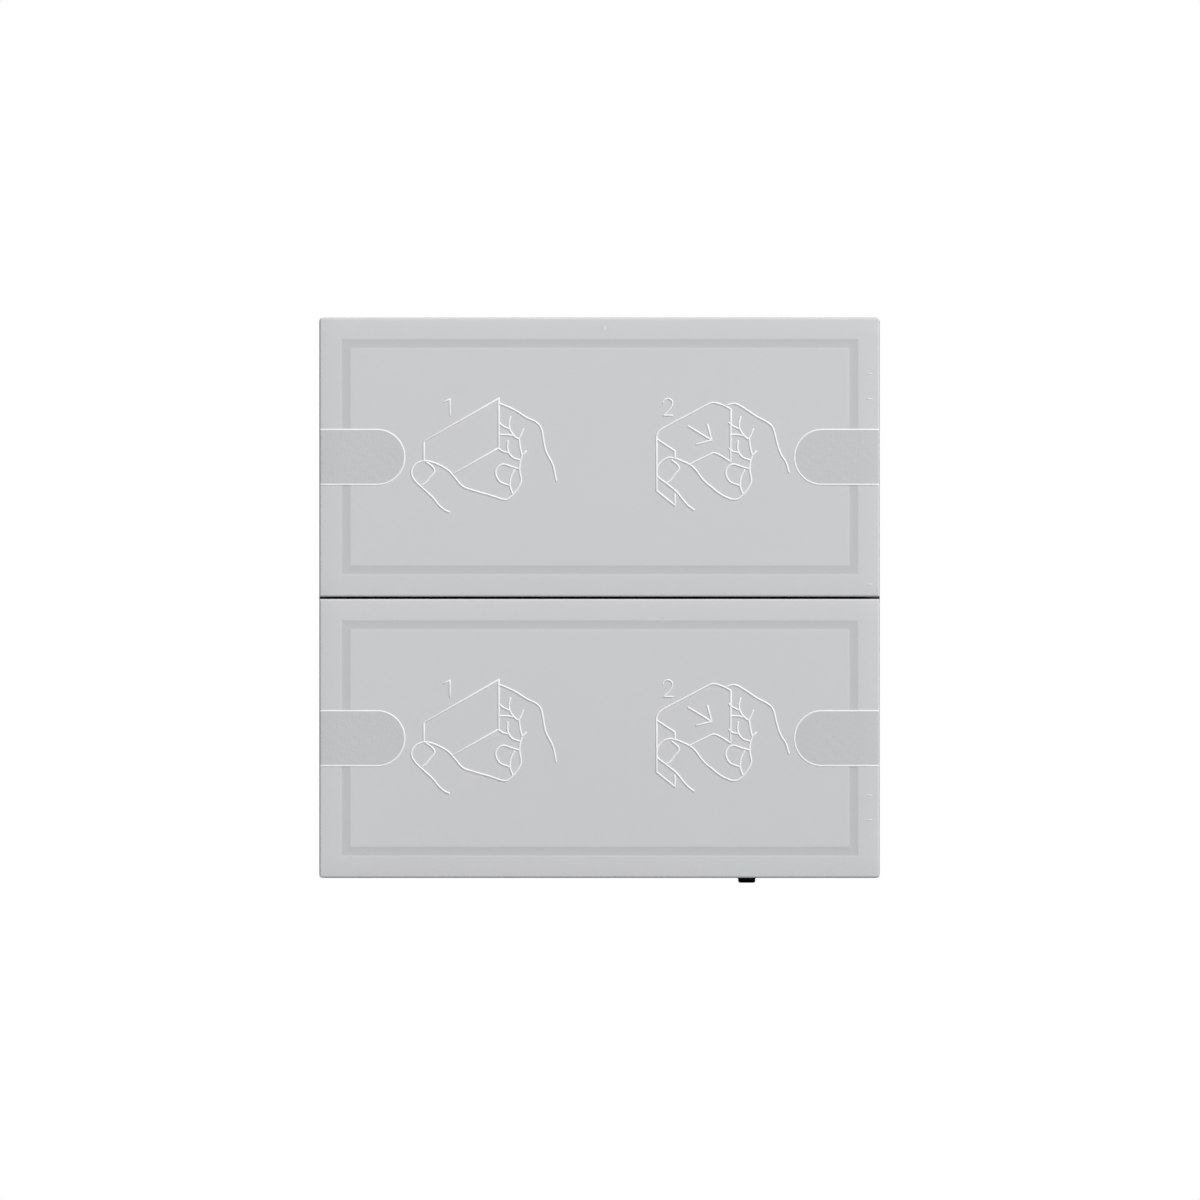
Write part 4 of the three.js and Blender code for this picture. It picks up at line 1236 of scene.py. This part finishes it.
def add_light(name, place, size, power):
    """A round lamp that looks at the middle of the object."""
    data = bpy.data.lights.new(name, "AREA")
    data.shape = "DISK"
    data.size = size
    data.energy = power
    light = add_object(name, data)
    light.location = place
    light.rotation_mode = "QUATERNION"
    light.rotation_quaternion = (-Vector(place)).to_track_quat("-Z", "Y")


SHARE_OF_IMAGE = 560 / 1200  # how much of the image's width the switch takes
AIM = (0.05 * MM, MIDDLE_Z - 0.22 * MM)  # the X and Z at the middle of the image


def build_camera():
    data = bpy.data.cameras.new("camera")
    data.type = "ORTHO"
    data.ortho_scale = 2 * HALF_W / SHARE_OF_IMAGE
    data.clip_start, data.clip_end = 0.01, 10
    camera = add_object("camera", data)
    camera.location = (AIM[0], -0.6, AIM[1])
    camera.rotation_euler = (math.radians(90), 0, 0)
    bpy.context.scene.camera = camera


# -------- the whole switch

for gang in GANGS:
    build_cover(gang)
    build_moulding(f"rocker_carrier_{gang}", 0.08 * MM)
    build_pivot_pin(f"pivot_pin_{gang}")
    for side in SIDES:
        build_plunger(f"{gang}_{side}")

build_base()
build_housing()
build_board()
build_package("microcontroller", 0.8, 7, [(1, 0), (-1, 0), (0, 1), (0, -1)])
build_package("bus_transceiver", 1.27, 7, [(0, 1), (0, -1)])
build_package("inductor", 2.2, 1, [(1, 0), (-1, 0)])
build_capacitor()
build_moulding("pin_header", 0.08 * MM)
for sign in ("positive", "negative"):
    build_bus_pin(f"bus_pin_{sign}")
for number in (1, 2, 3, 4):
    build_screw(f"board_screw_{number}", **BOARD_SCREW)
for corner in ("upper_right", "lower_left"):
    build_screw(f"fixing_screw_{corner}", **FIXING_SCREW)
build_terminal("bus_terminal_red", -1)
build_terminal("bus_terminal_grey", 1)

build_floor()
build_world()
add_light("key", place=(0.92, -0.93, 1.31), size=0.45, power=32)
add_light("fill", place=(0.05, -0.72, 0.05), size=0.5, power=0.9)
add_light("back", place=(-0.25, 0.6, 0.45), size=0.4, power=4)
build_camera()
bpy.context.scene.view_settings.view_transform = "Standard"
